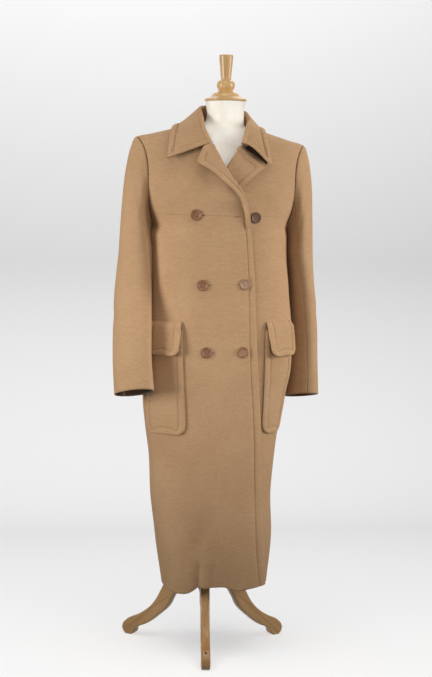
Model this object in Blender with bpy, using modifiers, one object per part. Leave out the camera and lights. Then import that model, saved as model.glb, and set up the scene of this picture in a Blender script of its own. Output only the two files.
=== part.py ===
"""A long double-breasted wool coat on a limbless dress form with a turned neck cap and a wooden tripod."""

import math

import bpy
import numpy as np

# All sizes are millimetres. The coat faces -Y, the wearer's right side is -X, the floor is at height 0.
MM = 0.001
ORIGIN = (4.9, 43.3, 0.0)
CLOTH = 2.6
SEAM = 0.5
OVERLAP = 4.3
OVERLAP_TURN = (-62, -34)
LAPEL_STAND = 10.5
LAPEL_TURN = (-24, 4)
LAPEL_RISE, LAPEL_SETTLES = (1120, 1165), (1228, 1285)
ROUNDNESS = 2.2
SHARP = math.radians(40)
WELD = 0.00002
FOLD_PULL = 0.9

# The coat's body, as level sections round a middle line that runs a little in front of the pole.
BODY = (
    # height, half width, front, back, middle, sway
    (168, 135, 140, 150, 0, -1),
    (300, 150, 145, 152, -8, -6),
    (420, 155, 146, 150, -14, -15),
    (500, 160, 145, 147, -20, -14),
    (572, 169, 143, 143, -25, -15),
    (660, 181, 140, 137, -30, -12),
    (737, 187, 138, 130, -30, -3),
    (817, 186, 135, 122, -30, 0),
    (922, 178, 130, 112, -22, 0),
    (1017, 172, 128, 112, -10, 0),
    (1082, 170, 127, 116, 0, 0),
    (1137, 188, 124, 118, 0, 0),
    (1192, 201, 113, 116, 0, 0),
    (1247, 207, 96, 106, 0, 0),
    (1279, 210, 82, 95, 0, 0),
    (1302, 211, 72, 85, 0, 0),
    (1312, 176, 69, 80, 0, 0),
    (1322, 140, 66, 76, 0, 0),
    (1332, 105, 64, 71, 0, 0),
    (1342, 70, 62, 66, 0, 0),
)
HEM = BODY[0][0]
NECKLINE = BODY[-1][0]

# Soft folds near the hem: dents and swells that fade out upwards.
FOLDS = (
    # turn, spread, depth, top
    (-23, 8, 8, 400),
    (-4, 7, 7, 360),
    (-48, 14, -7, 420),
    (28, 12, 5, 420),
    (150, 12, 7, 480),
    (180, 10, -5, 520),
    (208, 12, 7, 460),
)
FOLD_FADE = 1.5
HEM_DIP_HIGH = 150.0
HEM_DIPS = (
    # turn, spread, drop
    (-48, 22, 5),
    (-14, 12, -5),
    (60, 45, -9),
)

# The free edge of each front: the overlapping right front ends at the lapel's roll, then at the neck.
RIGHT_EDGE = (
    # height, x
    (168, 118), (430, 100), (572, 95), (775, 84), (944, 77), (1031, 71), (1060, 67), (1082, 61),
    (1108, 53), (1126, 48), (1153, 39), (1177, 28), (1205, 7), (1235, -9), (1265, -23), (1288, -37),
    (1302, -45), (1322, -57), (1342, -67),
)
LEFT_EDGE = (
    (168, -40), (775, -60), (1082, -58), (1126, -42), (1153, -32), (1177, -22), (1205, -5), (1235, 10),
    (1265, 30), (1288, 44), (1302, 50), (1322, 59), (1342, 67),
)

UNDERARM = 1082.0
SHOULDER = 1302.0
ARM_STEPS = 8
ARM_FRONT_TURN = 17.0
ARM_BACK_TURN = 16.0
SIDE_AT_ARM = 95.0
SIDE_AT_HEM = 104.0
SIDE_SETTLES = 700.0

SHOULDER_TILT = 0.035
TILT_RISE, TILT_FADES = (1000, 1250), (1340, 1400)


def table(rows, column, at):
    """A column of a table at the given keys: a monotone cubic through its rows."""
    keys = np.array([row[0] for row in rows], float)
    values = np.array([row[column] for row in rows], float)
    step = np.diff(keys)
    slope = np.diff(values) / step
    tangent = np.concatenate([slope[:1], np.zeros(len(keys) - 2), slope[-1:]])
    before, after = slope[:-1], slope[1:]
    same = before * after > 0
    first = 2 * step[1:] + step[:-1]
    second = step[1:] + 2 * step[:-1]
    safe_before = np.where(same, before, 1)
    safe_after = np.where(same, after, 1)
    mean = (first + second) / (first / safe_before + second / safe_after)
    tangent[1:-1] = np.where(same, mean, 0)
    at = np.clip(np.asarray(at, float), keys[0], keys[-1])
    cell = np.clip(np.searchsorted(keys, at, side="right") - 1, 0, len(step) - 1)
    width = step[cell]
    t = (at - keys[cell]) / width
    rise = t * t * (3 - 2 * t)
    return (
        values[cell] * (1 - rise) + values[cell + 1] * rise
        + width * (t * (1 - t) ** 2 * tangent[cell] - t * t * (1 - t) * tangent[cell + 1])
    )


def ease(value, low, high):
    """0 below low, 1 above high, with a soft rise between them."""
    t = np.clip((np.asarray(value, float) - low) / (high - low), 0, 1)
    return t * t * (3 - 2 * t)


def unit(vectors):
    """Vectors scaled to length 1."""
    return vectors / np.maximum(np.linalg.norm(vectors, axis=-1, keepdims=True), 1e-9)


def turn_from(angle, centre):
    """Angle measured from a centre, from -180 to 180 degrees."""
    return (np.asarray(angle, float) - centre + 180) % 360 - 180


def body_point(turn, height):
    """A point of the coat's outer surface; turn is 0 at the front and grows towards the wearer's left."""
    turn, height = np.broadcast_arrays(np.asarray(turn, float), np.asarray(height, float))
    half, front, back, middle, sway = (table(BODY, column, height) for column in range(1, 6))
    sine, cosine = np.sin(np.radians(turn)), np.cos(np.radians(turn))
    depth = np.where(cosine > 0, front + middle, back - middle)
    radius = (np.abs(sine / half) ** ROUNDNESS + np.abs(cosine / depth) ** ROUNDNESS) ** (-1 / ROUNDNESS)
    for centre, spread, dent, top in FOLDS:
        fade = np.clip((top - height) / (top - HEM), 0, 1) ** FOLD_FADE
        radius = radius - dent * fade * np.exp(-((turn_from(turn, centre) / spread) ** 2))
    low = height.copy()
    for centre, spread, drop in HEM_DIPS:
        fade = np.clip(1 - (height - HEM) / HEM_DIP_HIGH, 0, 1)
        low = low - drop * fade * np.exp(-((turn_from(turn, centre) / spread) ** 2))
    return np.stack([sway + radius * sine, middle - radius * cosine, low], axis=-1)


def body_normal(turn, height):
    """The outward normal of the coat's surface."""
    across = body_point(np.asarray(turn) + 0.2, height) - body_point(np.asarray(turn) - 0.2, height)
    low, high = np.asarray(height) - 0.6, np.asarray(height) + 0.6
    up = body_point(turn, np.minimum(high, NECKLINE)) - body_point(turn, np.maximum(low, HEM))
    return unit(np.cross(across, up))


def on_body(turn, height, out):
    """A point moved out from the coat's surface along its normal."""
    return body_point(turn, height) + body_normal(turn, height) * np.asarray(out, float)[..., None]


def turn_at(x, height):
    """The turn at which the front of a level section reaches a given x."""
    half, front, middle, sway = (table(BODY, column, height) for column in (1, 2, 4, 5))
    across = np.asarray(x, float) - sway
    share = np.clip(1 - np.abs(across / half) ** ROUNDNESS, 0, 1) ** (1 / ROUNDNESS)
    return np.degrees(np.arctan2(across, (front + middle) * share))


def right_lift(turn, height):
    """How far the right front stands off the body: over the left front, and more over its lapel."""
    over = OVERLAP * ease(turn, *OVERLAP_TURN)
    rise = ease(height, *LAPEL_RISE) * (1 - ease(height, *LAPEL_SETTLES))
    return over + LAPEL_STAND * ease(turn, *LAPEL_TURN) * rise


def left_lift(turn, height):
    """The left front lies on the body."""
    return np.zeros(np.broadcast(turn, height).shape)


def side_turn(height):
    """The side seam, a little behind the widest line."""
    return SIDE_AT_HEM + (SIDE_AT_ARM - SIDE_AT_HEM) * ease(height, SIDE_SETTLES, UNDERARM)


def armhole_turn(height, back):
    """The armhole's edge on the front or on the back, at heights from the underarm to the shoulder."""
    share = np.clip((np.asarray(height, float) - UNDERARM) / (SHOULDER - UNDERARM), 0, 1)
    base = SIDE_AT_ARM + (90 - SIDE_AT_ARM) * share
    bow = np.sqrt(np.clip(np.sin(math.pi * share), 0, 1))
    return base + (ARM_BACK_TURN if back else -ARM_FRONT_TURN) * bow


def panel_end(height, back):
    """The turn where a panel ends at the side: side seam, armhole, then shoulder seam."""
    height = np.asarray(height, float)
    arm = armhole_turn(height, back)
    turn = np.where(height < UNDERARM, side_turn(height), np.where(height > SHOULDER, 90.0, arm))
    gap = np.degrees(SEAM / 2 / np.maximum(table(BODY, 1, height), 60))
    return turn + gap if back else turn - gap


def hang(points):
    """The coat hangs with its shoulder line tipped a little down to the wearer's left."""
    x, y, z = np.moveaxis(np.asarray(points, float), -1, 0)
    share = ease(z, *TILT_RISE) * (1 - ease(z, *TILT_FADES))
    return np.stack([x, y, z - SHOULDER_TILT * x * share], axis=-1)


def material(name, colour, roughness, metallic=0.0):
    """A plain surface of one colour."""
    made = bpy.data.materials.new(name)
    made.use_nodes = True
    shader = made.node_tree.nodes["Principled BSDF"]
    shader.inputs["Base Color"].default_value = (*colour, 1)
    shader.inputs["Roughness"].default_value = roughness
    shader.inputs["Metallic"].default_value = metallic
    made.diffuse_color = (*colour, 1)
    return made


def add_mesh(name, points, faces, surface):
    """A mesh object of the coat and form, its faces turned outwards."""
    mesh = bpy.data.meshes.new(name)
    placed = (np.asarray(points, float) + ORIGIN) * MM
    mesh.from_pydata(placed.tolist(), [], faces)
    mesh.calc_loop_triangles()
    volume = 0.0
    for triangle in mesh.loop_triangles:
        a, b, c = (mesh.vertices[index].co for index in triangle.vertices)
        volume += a.dot(b.cross(c))
    if volume < 0:
        mesh.flip_normals()
    mesh.materials.append(surface)
    mesh.shade_smooth()
    mesh.set_sharp_from_angle(angle=SHARP)
    made = bpy.data.objects.new(name, mesh)
    COAT.objects.link(made)
    return made


def cloth_wall(name, top, under, surface):
    """A closed wall between two grids of points that lie a cloth's thickness apart."""
    rows, columns = top.shape[:2]
    index = np.arange(rows * columns).reshape(rows, columns)
    faces = []
    for i in range(rows - 1):
        for j in range(columns - 1):
            corners = (index[i, j], index[i, j + 1], index[i + 1, j + 1], index[i + 1, j])
            faces.append([int(corner) for corner in corners])
            faces.append([int(corner) + rows * columns for corner in reversed(corners)])
    rim = [*index[0, :], *index[1:, -1], *index[-1, -2::-1], *index[-2:0:-1, 0]]
    for here, there in zip(rim, rim[1:] + rim[:1]):
        faces.append([int(there), int(here), int(here) + rows * columns, int(there) + rows * columns])
    points = np.concatenate([top.reshape(-1, 3), under.reshape(-1, 3)])
    return add_mesh(name, points, faces, surface)


def grid_normals(grid):
    """Normals of a grid of points, from its rows and columns."""
    along = np.gradient(grid, axis=0)
    across = np.gradient(grid, axis=1)
    return unit(np.cross(across, along))


for old in list(bpy.data.objects):
    bpy.data.objects.remove(old)
COAT = bpy.data.collections.new("coat_on_dress_form")
bpy.context.scene.collection.children.link(COAT)

WOOL = material("camel_wool", (0.47, 0.29, 0.16), 0.9)
BUTTON = material("horn_button", (0.24, 0.12, 0.06), 0.35)
LINEN = material("form_linen", (0.87, 0.82, 0.74), 0.85)
WOOD = material("turned_wood", (0.49, 0.32, 0.14), 0.4)

# Rows shared by the panels, so that neighbours meet along the same points.
ARM_ROWS = 0.5 * (UNDERARM + SHOULDER) - 0.5 * (SHOULDER - UNDERARM) * np.cos(
    np.linspace(0, math.pi, ARM_STEPS + 1)
)
LOW_ROWS = np.array([HEM, 205, 260, 340, 420, 500, 572, 660, 737, 817, 922, 1017])
HIGH_ROWS = np.array([SHOULDER, 1307, 1314, 1328, NECKLINE])
YOKE = ARM_ROWS[2]
RIGHT_COLUMNS = 20
LEFT_COLUMNS = 16
YOKE_COLUMNS = 12
BACK_COLUMNS = 18


def front_panel(name, side, edge, lift, heights, columns):
    """A front or yoke: from its free edge to the side seam, armhole or shoulder."""
    heights = np.asarray(heights, float)
    inner = turn_at(table(edge, 1, heights), heights)
    outer = side * panel_end(heights, False)
    share = np.linspace(0, 1, columns + 1)
    turn = inner[:, None] + (outer - inner)[:, None] * share
    height = np.repeat(heights[:, None], columns + 1, axis=1)
    out = lift(turn, height)
    return cloth_wall(name, hang(on_body(turn, height, out)), hang(on_body(turn, height, out - CLOTH)), WOOL)


lower_rows = np.concatenate([LOW_ROWS, ARM_ROWS[:2], [YOKE - SEAM / 2]])
yoke_rows = np.concatenate([[YOKE + SEAM / 2], ARM_ROWS[3:-1], HIGH_ROWS])
front_panel("front_right", -1, RIGHT_EDGE, right_lift, lower_rows, RIGHT_COLUMNS)
front_panel("front_right_yoke", -1, RIGHT_EDGE, right_lift, yoke_rows, YOKE_COLUMNS)
front_panel("front_left", 1, LEFT_EDGE, left_lift, lower_rows, LEFT_COLUMNS)
front_panel("front_left_yoke", 1, LEFT_EDGE, left_lift, yoke_rows, YOKE_COLUMNS)

# The back is one piece, from side seam to side seam and up to the back neck.
back_rows = np.concatenate([LOW_ROWS, ARM_ROWS[:-1], HIGH_ROWS])
back_start = panel_end(back_rows, True)
back_share = np.linspace(0, 1, BACK_COLUMNS + 1)
back_turn = back_start[:, None] + (360 - 2 * back_start)[:, None] * back_share
back_height = np.repeat(back_rows[:, None], BACK_COLUMNS + 1, axis=1)
back_flat = np.zeros(back_turn.shape)
cloth_wall(
    "back", hang(on_body(back_turn, back_height, back_flat)),
    hang(on_body(back_turn, back_height, back_flat - CLOTH)), WOOL,
)

# Sleeves: a set-in head that leaves the armhole and turns down, then sections down to an open cuff.
RIGHT_SLEEVE = (
    # step, out, y, height, half depth, half width, turn in, lift of the front
    (0, 215, -8, 1020, 68, 37, 6, 0),
    (1, 221, -28, 940, 66, 37, 18, 4),
    (2, 224, -66, 860, 63, 34, 31, 8),
    (3, 226.5, -95, 765, 61, 33, 34, 12),
    (4, 222, -116, 674, 58, 37, 36, 16),
)
LEFT_SLEEVE = (
    (0, 209, 14, 1020, 70, 33, 0, 0),
    (1, 216, 18, 940, 69, 31, -4, 2),
    (2, 222, 20, 850, 68, 31, -9, 4),
    (3, 222, 18, 750, 65, 31, -15, 7),
    (4, 222, 14, 652, 59, 35, -20, 11),
)
SLEEVE_GAP = 0.9
UNDERARM_STAND = 2.6
SLEEVE_SEAM = 112.5
SLEEVE_SEAM_HALF = 0.4
HEAD_STEPS = 6
HEAD_LEAVES = 0.55 * np.array((0.62, 0, -0.75)) / math.hypot(0.62, 0.75)
HEAD_ARRIVES = 0.8 * np.array((0.06, 0, -1.0))
SLEEVE_STEPS = 7
TOP_COLUMNS, UNDER_COLUMNS = 10, 6


def armhole(angle):
    """The left armhole's outline and the body's normal there: 0 shoulder, 90 front, 180 below, 270 back."""
    angle = np.asarray(angle, float) % 360
    height = 0.5 * (UNDERARM + SHOULDER) + 0.5 * (SHOULDER - UNDERARM) * np.cos(np.radians(angle))
    turn = np.where(angle <= 180, armhole_turn(height, False), armhole_turn(height, True))
    return body_point(turn, height), body_normal(turn, height)


def sleeve_sheet(rows, angle, along):
    """The left sleeve's inner surface: along is 0 at the armhole, 1 at the first section, 2 at the cuff."""
    angle, along = np.broadcast_arrays(np.asarray(angle, float), np.asarray(along, float))
    step = np.clip(along - 1, 0, 1) * rows[-1][0]
    out, y, height, depth, width, toe, tip = (table(rows, column, step) for column in range(1, 8))
    toe, tip = np.radians(toe), np.radians(tip)
    sine, cosine = np.sin(np.radians(angle)), np.cos(np.radians(angle))
    forward, sideways = depth * sine, width * cosine
    ring = np.stack(
        [
            out + sideways * np.cos(toe) - forward * np.sin(toe),
            y - forward * np.cos(toe) * np.cos(tip) - sideways * np.sin(toe),
            height + (forward * np.cos(toe) + sideways * np.sin(toe)) * np.tan(tip),
        ],
        axis=-1,
    )
    start, normal = armhole(angle)
    ahead, _ = armhole(angle + 0.5)
    behind, _ = armhole(angle - 0.5)
    into = unit(np.cross(normal, ahead - behind))
    low = ease(-np.cos(np.radians(angle)), 0.1, 0.8)[..., None]
    start = start + into * SLEEVE_GAP + normal * UNDERARM_STAND * low
    reach = np.linalg.norm(ring - start, axis=-1, keepdims=True)
    t = np.clip(along, 0, 1)[..., None]
    head = (
        start * (1 + 2 * t) * (1 - t) ** 2 + ring * t * t * (3 - 2 * t)
        + HEAD_LEAVES * reach * t * (1 - t) ** 2 + HEAD_ARRIVES * reach * t * t * (t - 1)
    )
    return np.where(along[..., None] <= 1, head, ring)


def sleeve_half(name, rows, side, first, last, steps):
    """The top or under part of a sleeve, between its two long seams."""
    angle = np.linspace(first, last, steps + 1)
    angle[0] += SLEEVE_SEAM_HALF
    angle[-1] -= SLEEVE_SEAM_HALF
    along = np.concatenate([np.linspace(0, 1, HEAD_STEPS + 1)[:-1], np.linspace(1, 2, SLEEVE_STEPS + 1)])
    grid_angle, grid_along = np.meshgrid(angle, along)
    sheet = sleeve_sheet(rows, grid_angle, grid_along)
    before, after = (sleeve_sheet(rows, grid_angle + shift, grid_along) for shift in (-0.5, 0.5))
    low, high = np.clip(grid_along - 0.01, 0, 2), np.clip(grid_along + 0.01, 0, 2)
    moved = sleeve_sheet(rows, grid_angle, high) - sleeve_sheet(rows, grid_angle, low)
    outer = sheet + CLOTH * unit(np.cross(after - before, moved))
    base, outward = armhole(grid_angle[0])
    ahead, _ = armhole(grid_angle[0] + 0.5)
    behind, _ = armhole(grid_angle[0] - 0.5)
    into = unit(np.cross(outward, ahead - behind))
    short = SLEEVE_GAP - np.sum((outer[0] - base) * into, axis=-1)
    proud = np.sum((outer[0] - base) * outward, axis=-1)
    outer[0] += into * np.where(proud < SLEEVE_GAP / 2, np.maximum(short, 0), 0)[:, None]
    flip = np.array((side, 1, 1))
    return cloth_wall(name, hang(outer * flip), hang(sheet * flip), WOOL)


for sleeve_name, sleeve_rows, sleeve_side in (("right", RIGHT_SLEEVE, -1), ("left", LEFT_SLEEVE, 1)):
    sleeve_half(f"sleeve_{sleeve_name}_top", sleeve_rows, sleeve_side, -SLEEVE_SEAM, SLEEVE_SEAM, TOP_COLUMNS)
    sleeve_half(
        f"sleeve_{sleeve_name}_under", sleeve_rows, sleeve_side, SLEEVE_SEAM, 360 - SLEEVE_SEAM, UNDER_COLUMNS
    )


# Lapels: the front's cloth folded back at the roll and carried out over the chest.
RIGHT_LAPEL = (
    # roll height, outer x, outer height, lift
    (1084, 59, 1084, 6.6),
    (1108, 46, 1109, 11),
    (1126, 39, 1128, 15),
    (1153, 27, 1156, 18),
    (1177, 11, 1176, 21),
    (1205, -12, 1196, 24),
    (1235, -34, 1214, 27),
    (1262, -55, 1226, 29),
    (1285, -70, 1234, 30),
)
LEFT_LAPEL = (
    (1205, 30, 1172, 5.5),
    (1235, 54, 1198, 8),
    (1262, 80, 1221, 11),
    (1286, 101, 1240, 14),
)
RIGHT_ROLL, LEFT_ROLL = (0.8, 3.6), (1.6, 2.6)
RIGHT_NOTCH, LEFT_NOTCH = (0.5, 13), (0.3, -4)
NOTCH_STARTS = 0.72
LAPEL_ROWS = 10
LAPEL_FOLD = np.radians((0, 40, 80, 120, 155, 180))
LAPEL_RUN = np.array((0.16, 0.33, 0.5, 0.67, 0.84, 1.0))


def lapel(name, side, edge, lift, rows, fold, notch):
    """Carries a fold and a flat run along the roll line; notch is (share of the top edge, rise)."""
    roll = np.linspace(rows[0][0], rows[-1][0], LAPEL_ROWS)
    turn = turn_at(table(edge, 1, roll), roll)
    normal = body_normal(turn, roll)
    base = on_body(turn, roll, lift(turn, roll))
    inward = np.cross(normal, np.gradient(base, axis=0))
    inward = unit(inward * np.sign(-side * inward[:, :1]))
    base = base + inward * 2 * SEAM
    radius = np.linspace(fold[0], fold[1], LAPEL_ROWS)[:, None]
    bends = [
        base + radius * (math.sin(angle) * inward + (1 - math.cos(angle)) * normal) for angle in LAPEL_FOLD
    ]
    outer_x, outer_z, outer_lift = (table(rows, column, roll) for column in (1, 2, 3))
    end = on_body(turn_at(outer_x, outer_z), outer_z, outer_lift)
    start = bends[-1]
    reach = np.linalg.norm(end - start, axis=-1, keepdims=True)
    leave, arrive = -inward * reach * FOLD_PULL, unit(end - start) * reach * FOLD_PULL
    near_top = ease(np.arange(LAPEL_ROWS), NOTCH_STARTS * (LAPEL_ROWS - 1), LAPEL_ROWS - 1)
    for t in LAPEL_RUN:
        point = (
            start * (1 + 2 * t) * (1 - t) ** 2 + end * t * t * (3 - 2 * t)
            + leave * t * (1 - t) ** 2 + arrive * t * t * (t - 1)
        )
        tent = min(t / notch[0], (1 - t) / (1 - notch[0]))
        point[:, 2] += near_top * notch[1] * tent
        bends.append(point)
    under = np.stack(bends, axis=1)
    facing = grid_normals(under)
    facing = facing * -np.sign(np.sum(facing[:, 0] * normal, axis=-1).mean())
    return cloth_wall(name, hang(under + CLOTH * facing), hang(under), WOOL)


lapel("lapel_right", -1, RIGHT_EDGE, right_lift, RIGHT_LAPEL, RIGHT_ROLL, RIGHT_NOTCH)
lapel("lapel_left", 1, LEFT_EDGE, left_lift, LEFT_LAPEL, LEFT_ROLL, LEFT_NOTCH)

# Collar: a stand that rises from the neckline, a soft fold, and a broad fall with two points.
COLLAR = (
    # place, fold x, fold y, fold z, outer x, outer y, outer z, lean
    (-1.0, -31, -91, 1294.5, -144, -93, 1249, 68),
    (-0.75, -46, -58, 1334, -129, -44, 1328.5, 42),
    (-0.5, -47, -16, 1366, -117, 4, 1332.5, 8),
    (-0.375, -47, 14, 1379, -104, 46, 1333.5, 3),
    (-0.25, -41, 38, 1386, -82, 82, 1311, 0),
    (0.0, 4, 64, 1390, 0, 93, 1306, 0),
    (0.25, 54, 40, 1381, 84, 80, 1311, 0),
    (0.375, 66, 18, 1371, 105, 46, 1333, 3),
    (0.5, 68, -8, 1357, 112, 6, 1334, 8),
    (0.75, 56, -58, 1338, 116, -47, 1332, 42),
    (1.0, 42, -94, 1298, 121, -110, 1235, 68),
)
COLLAR_ROWS = 22
COLLAR_FOLD = np.radians((0, 45, 90, 135, 180))
COLLAR_FOLD_RADIUS = 3.0
COLLAR_START = 1294.0
NECK_CORNER = 73.0
COLLAR_GAP = 2.6
COLLAR_RISE = 45.0
COLLAR_STAND_RUN = (0, 0.35, 0.7)
COLLAR_FALL_RUN = (0.18, 0.36, 0.54, 0.7, 0.85, 1.0)
DROOP_BACK, DROOP_FRONT, DROOP_LEAN = 0.65, 0.15, (0.15, 0.7)


def neckline(place):
    """The collar's seam: -1 and 1 at the lapels, 0 at the back of the neck."""
    far = np.clip((np.abs(place) - 0.5) / 0.5, 0, 1)
    height = NECKLINE + (COLLAR_START - NECKLINE) * far
    front = np.where(
        place < 0, turn_at(table(RIGHT_EDGE, 1, height), height), turn_at(table(LEFT_EDGE, 1, height), height)
    )
    back = np.sign(place + 1e-9) * (NECK_CORNER + (180 - NECK_CORNER) * (1 - np.abs(place) / 0.5))
    turn = np.where(np.abs(place) > 0.5, front, back)
    point = body_point(turn, height)
    away = unit(np.stack([-point[:, 0], -point[:, 1], np.full(len(place), COLLAR_RISE)], axis=-1))
    return point + away * COLLAR_GAP


collar_place = np.linspace(-1, 1, COLLAR_ROWS + 1)
collar_seam = neckline(collar_place)
collar_fold = np.stack([table(COLLAR, column, collar_place) for column in (1, 2, 3)], axis=-1)
collar_edge = np.stack([table(COLLAR, column, collar_place) for column in (4, 5, 6)], axis=-1)
collar_lean = np.radians(table(COLLAR, 7, collar_place))
collar_up = np.stack([0 * collar_lean, -np.sin(collar_lean), np.cos(collar_lean)], axis=-1)
collar_out = collar_edge - collar_fold
collar_out = unit(collar_out - np.sum(collar_out * collar_up, axis=-1, keepdims=True) * collar_up)
collar_centre = collar_fold + collar_out * (COLLAR_FOLD_RADIUS + CLOTH)
collar_bends = [
    collar_centre + COLLAR_FOLD_RADIUS * (math.sin(angle) * collar_up - math.cos(angle) * collar_out)
    for angle in COLLAR_FOLD
]
collar_columns = [collar_seam + (collar_bends[0] - collar_seam) * share for share in COLLAR_STAND_RUN]
collar_columns += collar_bends
collar_droop = (DROOP_BACK + (DROOP_FRONT - DROOP_BACK) * ease(collar_lean, *DROOP_LEAN))[:, None]
collar_reach = np.linalg.norm(collar_edge - collar_bends[-1], axis=-1, keepdims=True)
for share in COLLAR_FALL_RUN:
    collar_columns.append(
        collar_bends[-1] * (1 + 2 * share) * (1 - share) ** 2 + collar_edge * share * share * (3 - 2 * share)
        + unit(collar_out - collar_droop * collar_up) * collar_reach * FOLD_PULL * share * (1 - share) ** 2
        + unit(collar_edge - collar_bends[-1]) * collar_reach * FOLD_PULL * share * share * (share - 1)
    )
collar_under = np.stack(collar_columns, axis=1)
collar_facing = grid_normals(collar_under)
collar_facing *= np.sign(np.sum(collar_facing[:, -1] * collar_up, axis=-1).mean())
cloth_wall("collar", hang(collar_under + CLOTH * collar_facing), hang(collar_under), WOOL)

# Patch pockets with rounded lower corners, each with a flap over its mouth.
POCKET_BOTTOM = 570.0
FLAP_BOTTOM = 767.0
FLAP_SEAT = 0.75
POCKET_END = 78.0
RIGHT_POCKET_INSIDE, LEFT_POCKET_INSIDE = (
    # height, x
    ((560, -92), (700, -99), (860, -106)),
    ((560, 98), (700, 102), (860, 106)),
)
RIGHT_FLAP_INSIDE, LEFT_FLAP_INSIDE = (
    ((760, -116), (790, -114), (860, -106)),
    ((760, 114), (790, 112.5), (860, 106)),
)
POCKET_CORNER, FLAP_CORNER = 26.0, 16.0
POCKET_WALL, FLAP_WALL, LAYER_GAP = 3.4, 2.8, 1.0
FLAP_OUT, FLAP_FLARE = 6.6, 5.0
POCKET_COLUMNS = 7
POCKET_RADIUS = 170.0


def on_panel(turn, height, out):
    """A point moved out from a lower front's own flat facets, straight between its rows."""
    row = np.clip(np.searchsorted(lower_rows, height, side="right") - 1, 0, len(lower_rows) - 2)
    low, high = lower_rows[row], lower_rows[row + 1]
    share = ((height - low) / (high - low))[..., None]
    return on_body(turn, low, out) * (1 - share) + on_body(turn, high, out) * share


def patch(name, side, lift, heights, inside, corner, out, wall, flare, seat):
    """A piece laid on a front and moved out: flare lifts its lower edge, seat sets its upper one."""
    heights = np.asarray(heights, float)
    above = np.clip((heights - heights[0]) / corner, 0, 1)
    inset = np.degrees(corner * (1 - np.sqrt(1 - (1 - above) ** 2)) / POCKET_RADIUS)
    inner = side * turn_at(table(inside, 1, heights), heights) + inset
    outer = POCKET_END - inset
    share = np.linspace(0, 1, POCKET_COLUMNS + 1)
    turn = side * (inner[:, None] + (outer - inner)[:, None] * share)
    height = np.repeat(heights[:, None], POCKET_COLUMNS + 1, axis=1)
    stand = out + flare * (1 - ease(heights, heights[0], heights[-1]))
    stand[-1] = seat
    raised = lift(turn, height) + stand[:, None]
    return cloth_wall(name, on_panel(turn, height, raised + wall), on_panel(turn, height, raised), WOOL)


pocket_rows = POCKET_BOTTOM + np.array((0, 2, 6, 13, 26, 58, 90, 128, 167, 207, 247, 260))
flap_rows = FLAP_BOTTOM + np.array((0, 1, 4, 9, 16, 33, 50, 67, 84))
for side_name, side, lift, pocket_inside, flap_inside in (
    ("right", -1, right_lift, RIGHT_POCKET_INSIDE, RIGHT_FLAP_INSIDE),
    ("left", 1, left_lift, LEFT_POCKET_INSIDE, LEFT_FLAP_INSIDE),
):
    patch(
        f"pocket_{side_name}", side, lift, pocket_rows, pocket_inside, POCKET_CORNER, LAYER_GAP,
        POCKET_WALL, 0, LAYER_GAP,
    )
    patch(
        f"flap_{side_name}", side, lift, flap_rows, flap_inside, FLAP_CORNER,
        FLAP_OUT, FLAP_WALL, FLAP_FLARE, FLAP_SEAT,
    )


def turned(name, profile, place, axis, surface, steps):
    """A turned piece: its profile of (radius, height) from the top down, spun round its own axis."""
    mesh = bpy.data.meshes.new(name)
    points = [(radius * MM, 0, height * MM) for radius, height in profile]
    mesh.from_pydata(points, [(i, i + 1) for i in range(len(points) - 1)], [])
    mesh.materials.append(surface)
    made = bpy.data.objects.new(name, mesh)
    made.location = [(value + shift) * MM for value, shift in zip(place, ORIGIN)]
    made.rotation_euler = axis
    spin = made.modifiers.new("spin", "SCREW")
    spin.steps = steps
    spin.render_steps = steps
    spin.use_smooth_shade = True
    spin.use_merge_vertices = True
    spin.merge_threshold = WELD
    COAT.objects.link(made)
    return made


# Six buttons with a raised rim, each seated on its front.
BUTTONS = (
    # name, x, height, on the right front
    ("button_right_top", -72, 1115, True),
    ("button_right_middle", -55, 943, True),
    ("button_right_low", -45, 776, True),
    ("button_left_top", 76, 1112, False),
    ("button_left_middle", 49, 946, True),
    ("button_left_low", 46, 777, True),
)
BUTTON_PROFILE = ((0, 2.4), (8.8, 2.4), (10.7, 4.0), (12.7, 4.0), (14, 2.7), (14, 1.2), (11.7, 0), (0, 0))
BUTTON_GAP = 0.5
BUTTON_SIDES, CAP_SIDES, POLE_SIDES = 16, 24, 20
for button_name, x, height, on_right in BUTTONS:
    turn = turn_at(x, height)
    lift = (right_lift if on_right else left_lift)(turn, height)
    nx, ny, nz = body_normal(turn, height)
    seat = hang(on_body(turn, height, lift + BUTTON_GAP))
    turned(button_name, BUTTON_PROFILE, seat, (math.acos(nz), 0, math.atan2(nx, -ny)), BUTTON, BUTTON_SIDES)

# The dress form: a torso with a neck, padded and covered with linen, flat below and on top of the neck.
TORSO = (
    # height, half width, front, back, sway
    (640, 146, 92, 94, -6),
    (650, 153, 98, 100, -6),
    (720, 158, 106, 104, -5),
    (800, 160, 104, 98, -4),
    (922, 148, 98, 88, -2),
    (1017, 148, 104, 90, 0),
    (1100, 154, 106, 98, 0),
    (1180, 166, 92, 98, 0),
    (1240, 172, 76, 88, 0),
    (1280, 172, 63, 76, 0),
    (1298, 168, 57, 68, 0),
    (1308, 163, 54, 64, 0),
    (1318, 142.5, 52, 60, 0),
    (1328, 105, 50, 57, 1),
    (1338, 62, 48, 53, 5),
    (1350, 50, 46, 50, 11),
    (1362, 47, 46, 48, 12),
    (1402, 50, 50, 50, 12.5),
)
TORSO_SIDES = 24
torso_heights = np.array(
    (640, 650, 684, 720, 800, 860, 922, 970, 1017, 1060, 1100, 1140, 1180, 1210, 1240, 1262, 1280, 1298, 1308,
     1318, 1328, 1338, 1344, 1350, 1362, 1380, 1402.0)
)
torso_turn = np.radians(np.arange(TORSO_SIDES) * 360 / TORSO_SIDES)
torso_half, torso_front, torso_back, torso_sway = (table(TORSO, c, torso_heights) for c in (1, 2, 3, 4))
torso_depth = np.where(np.cos(torso_turn) > 0, torso_front[:, None], torso_back[:, None])
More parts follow.
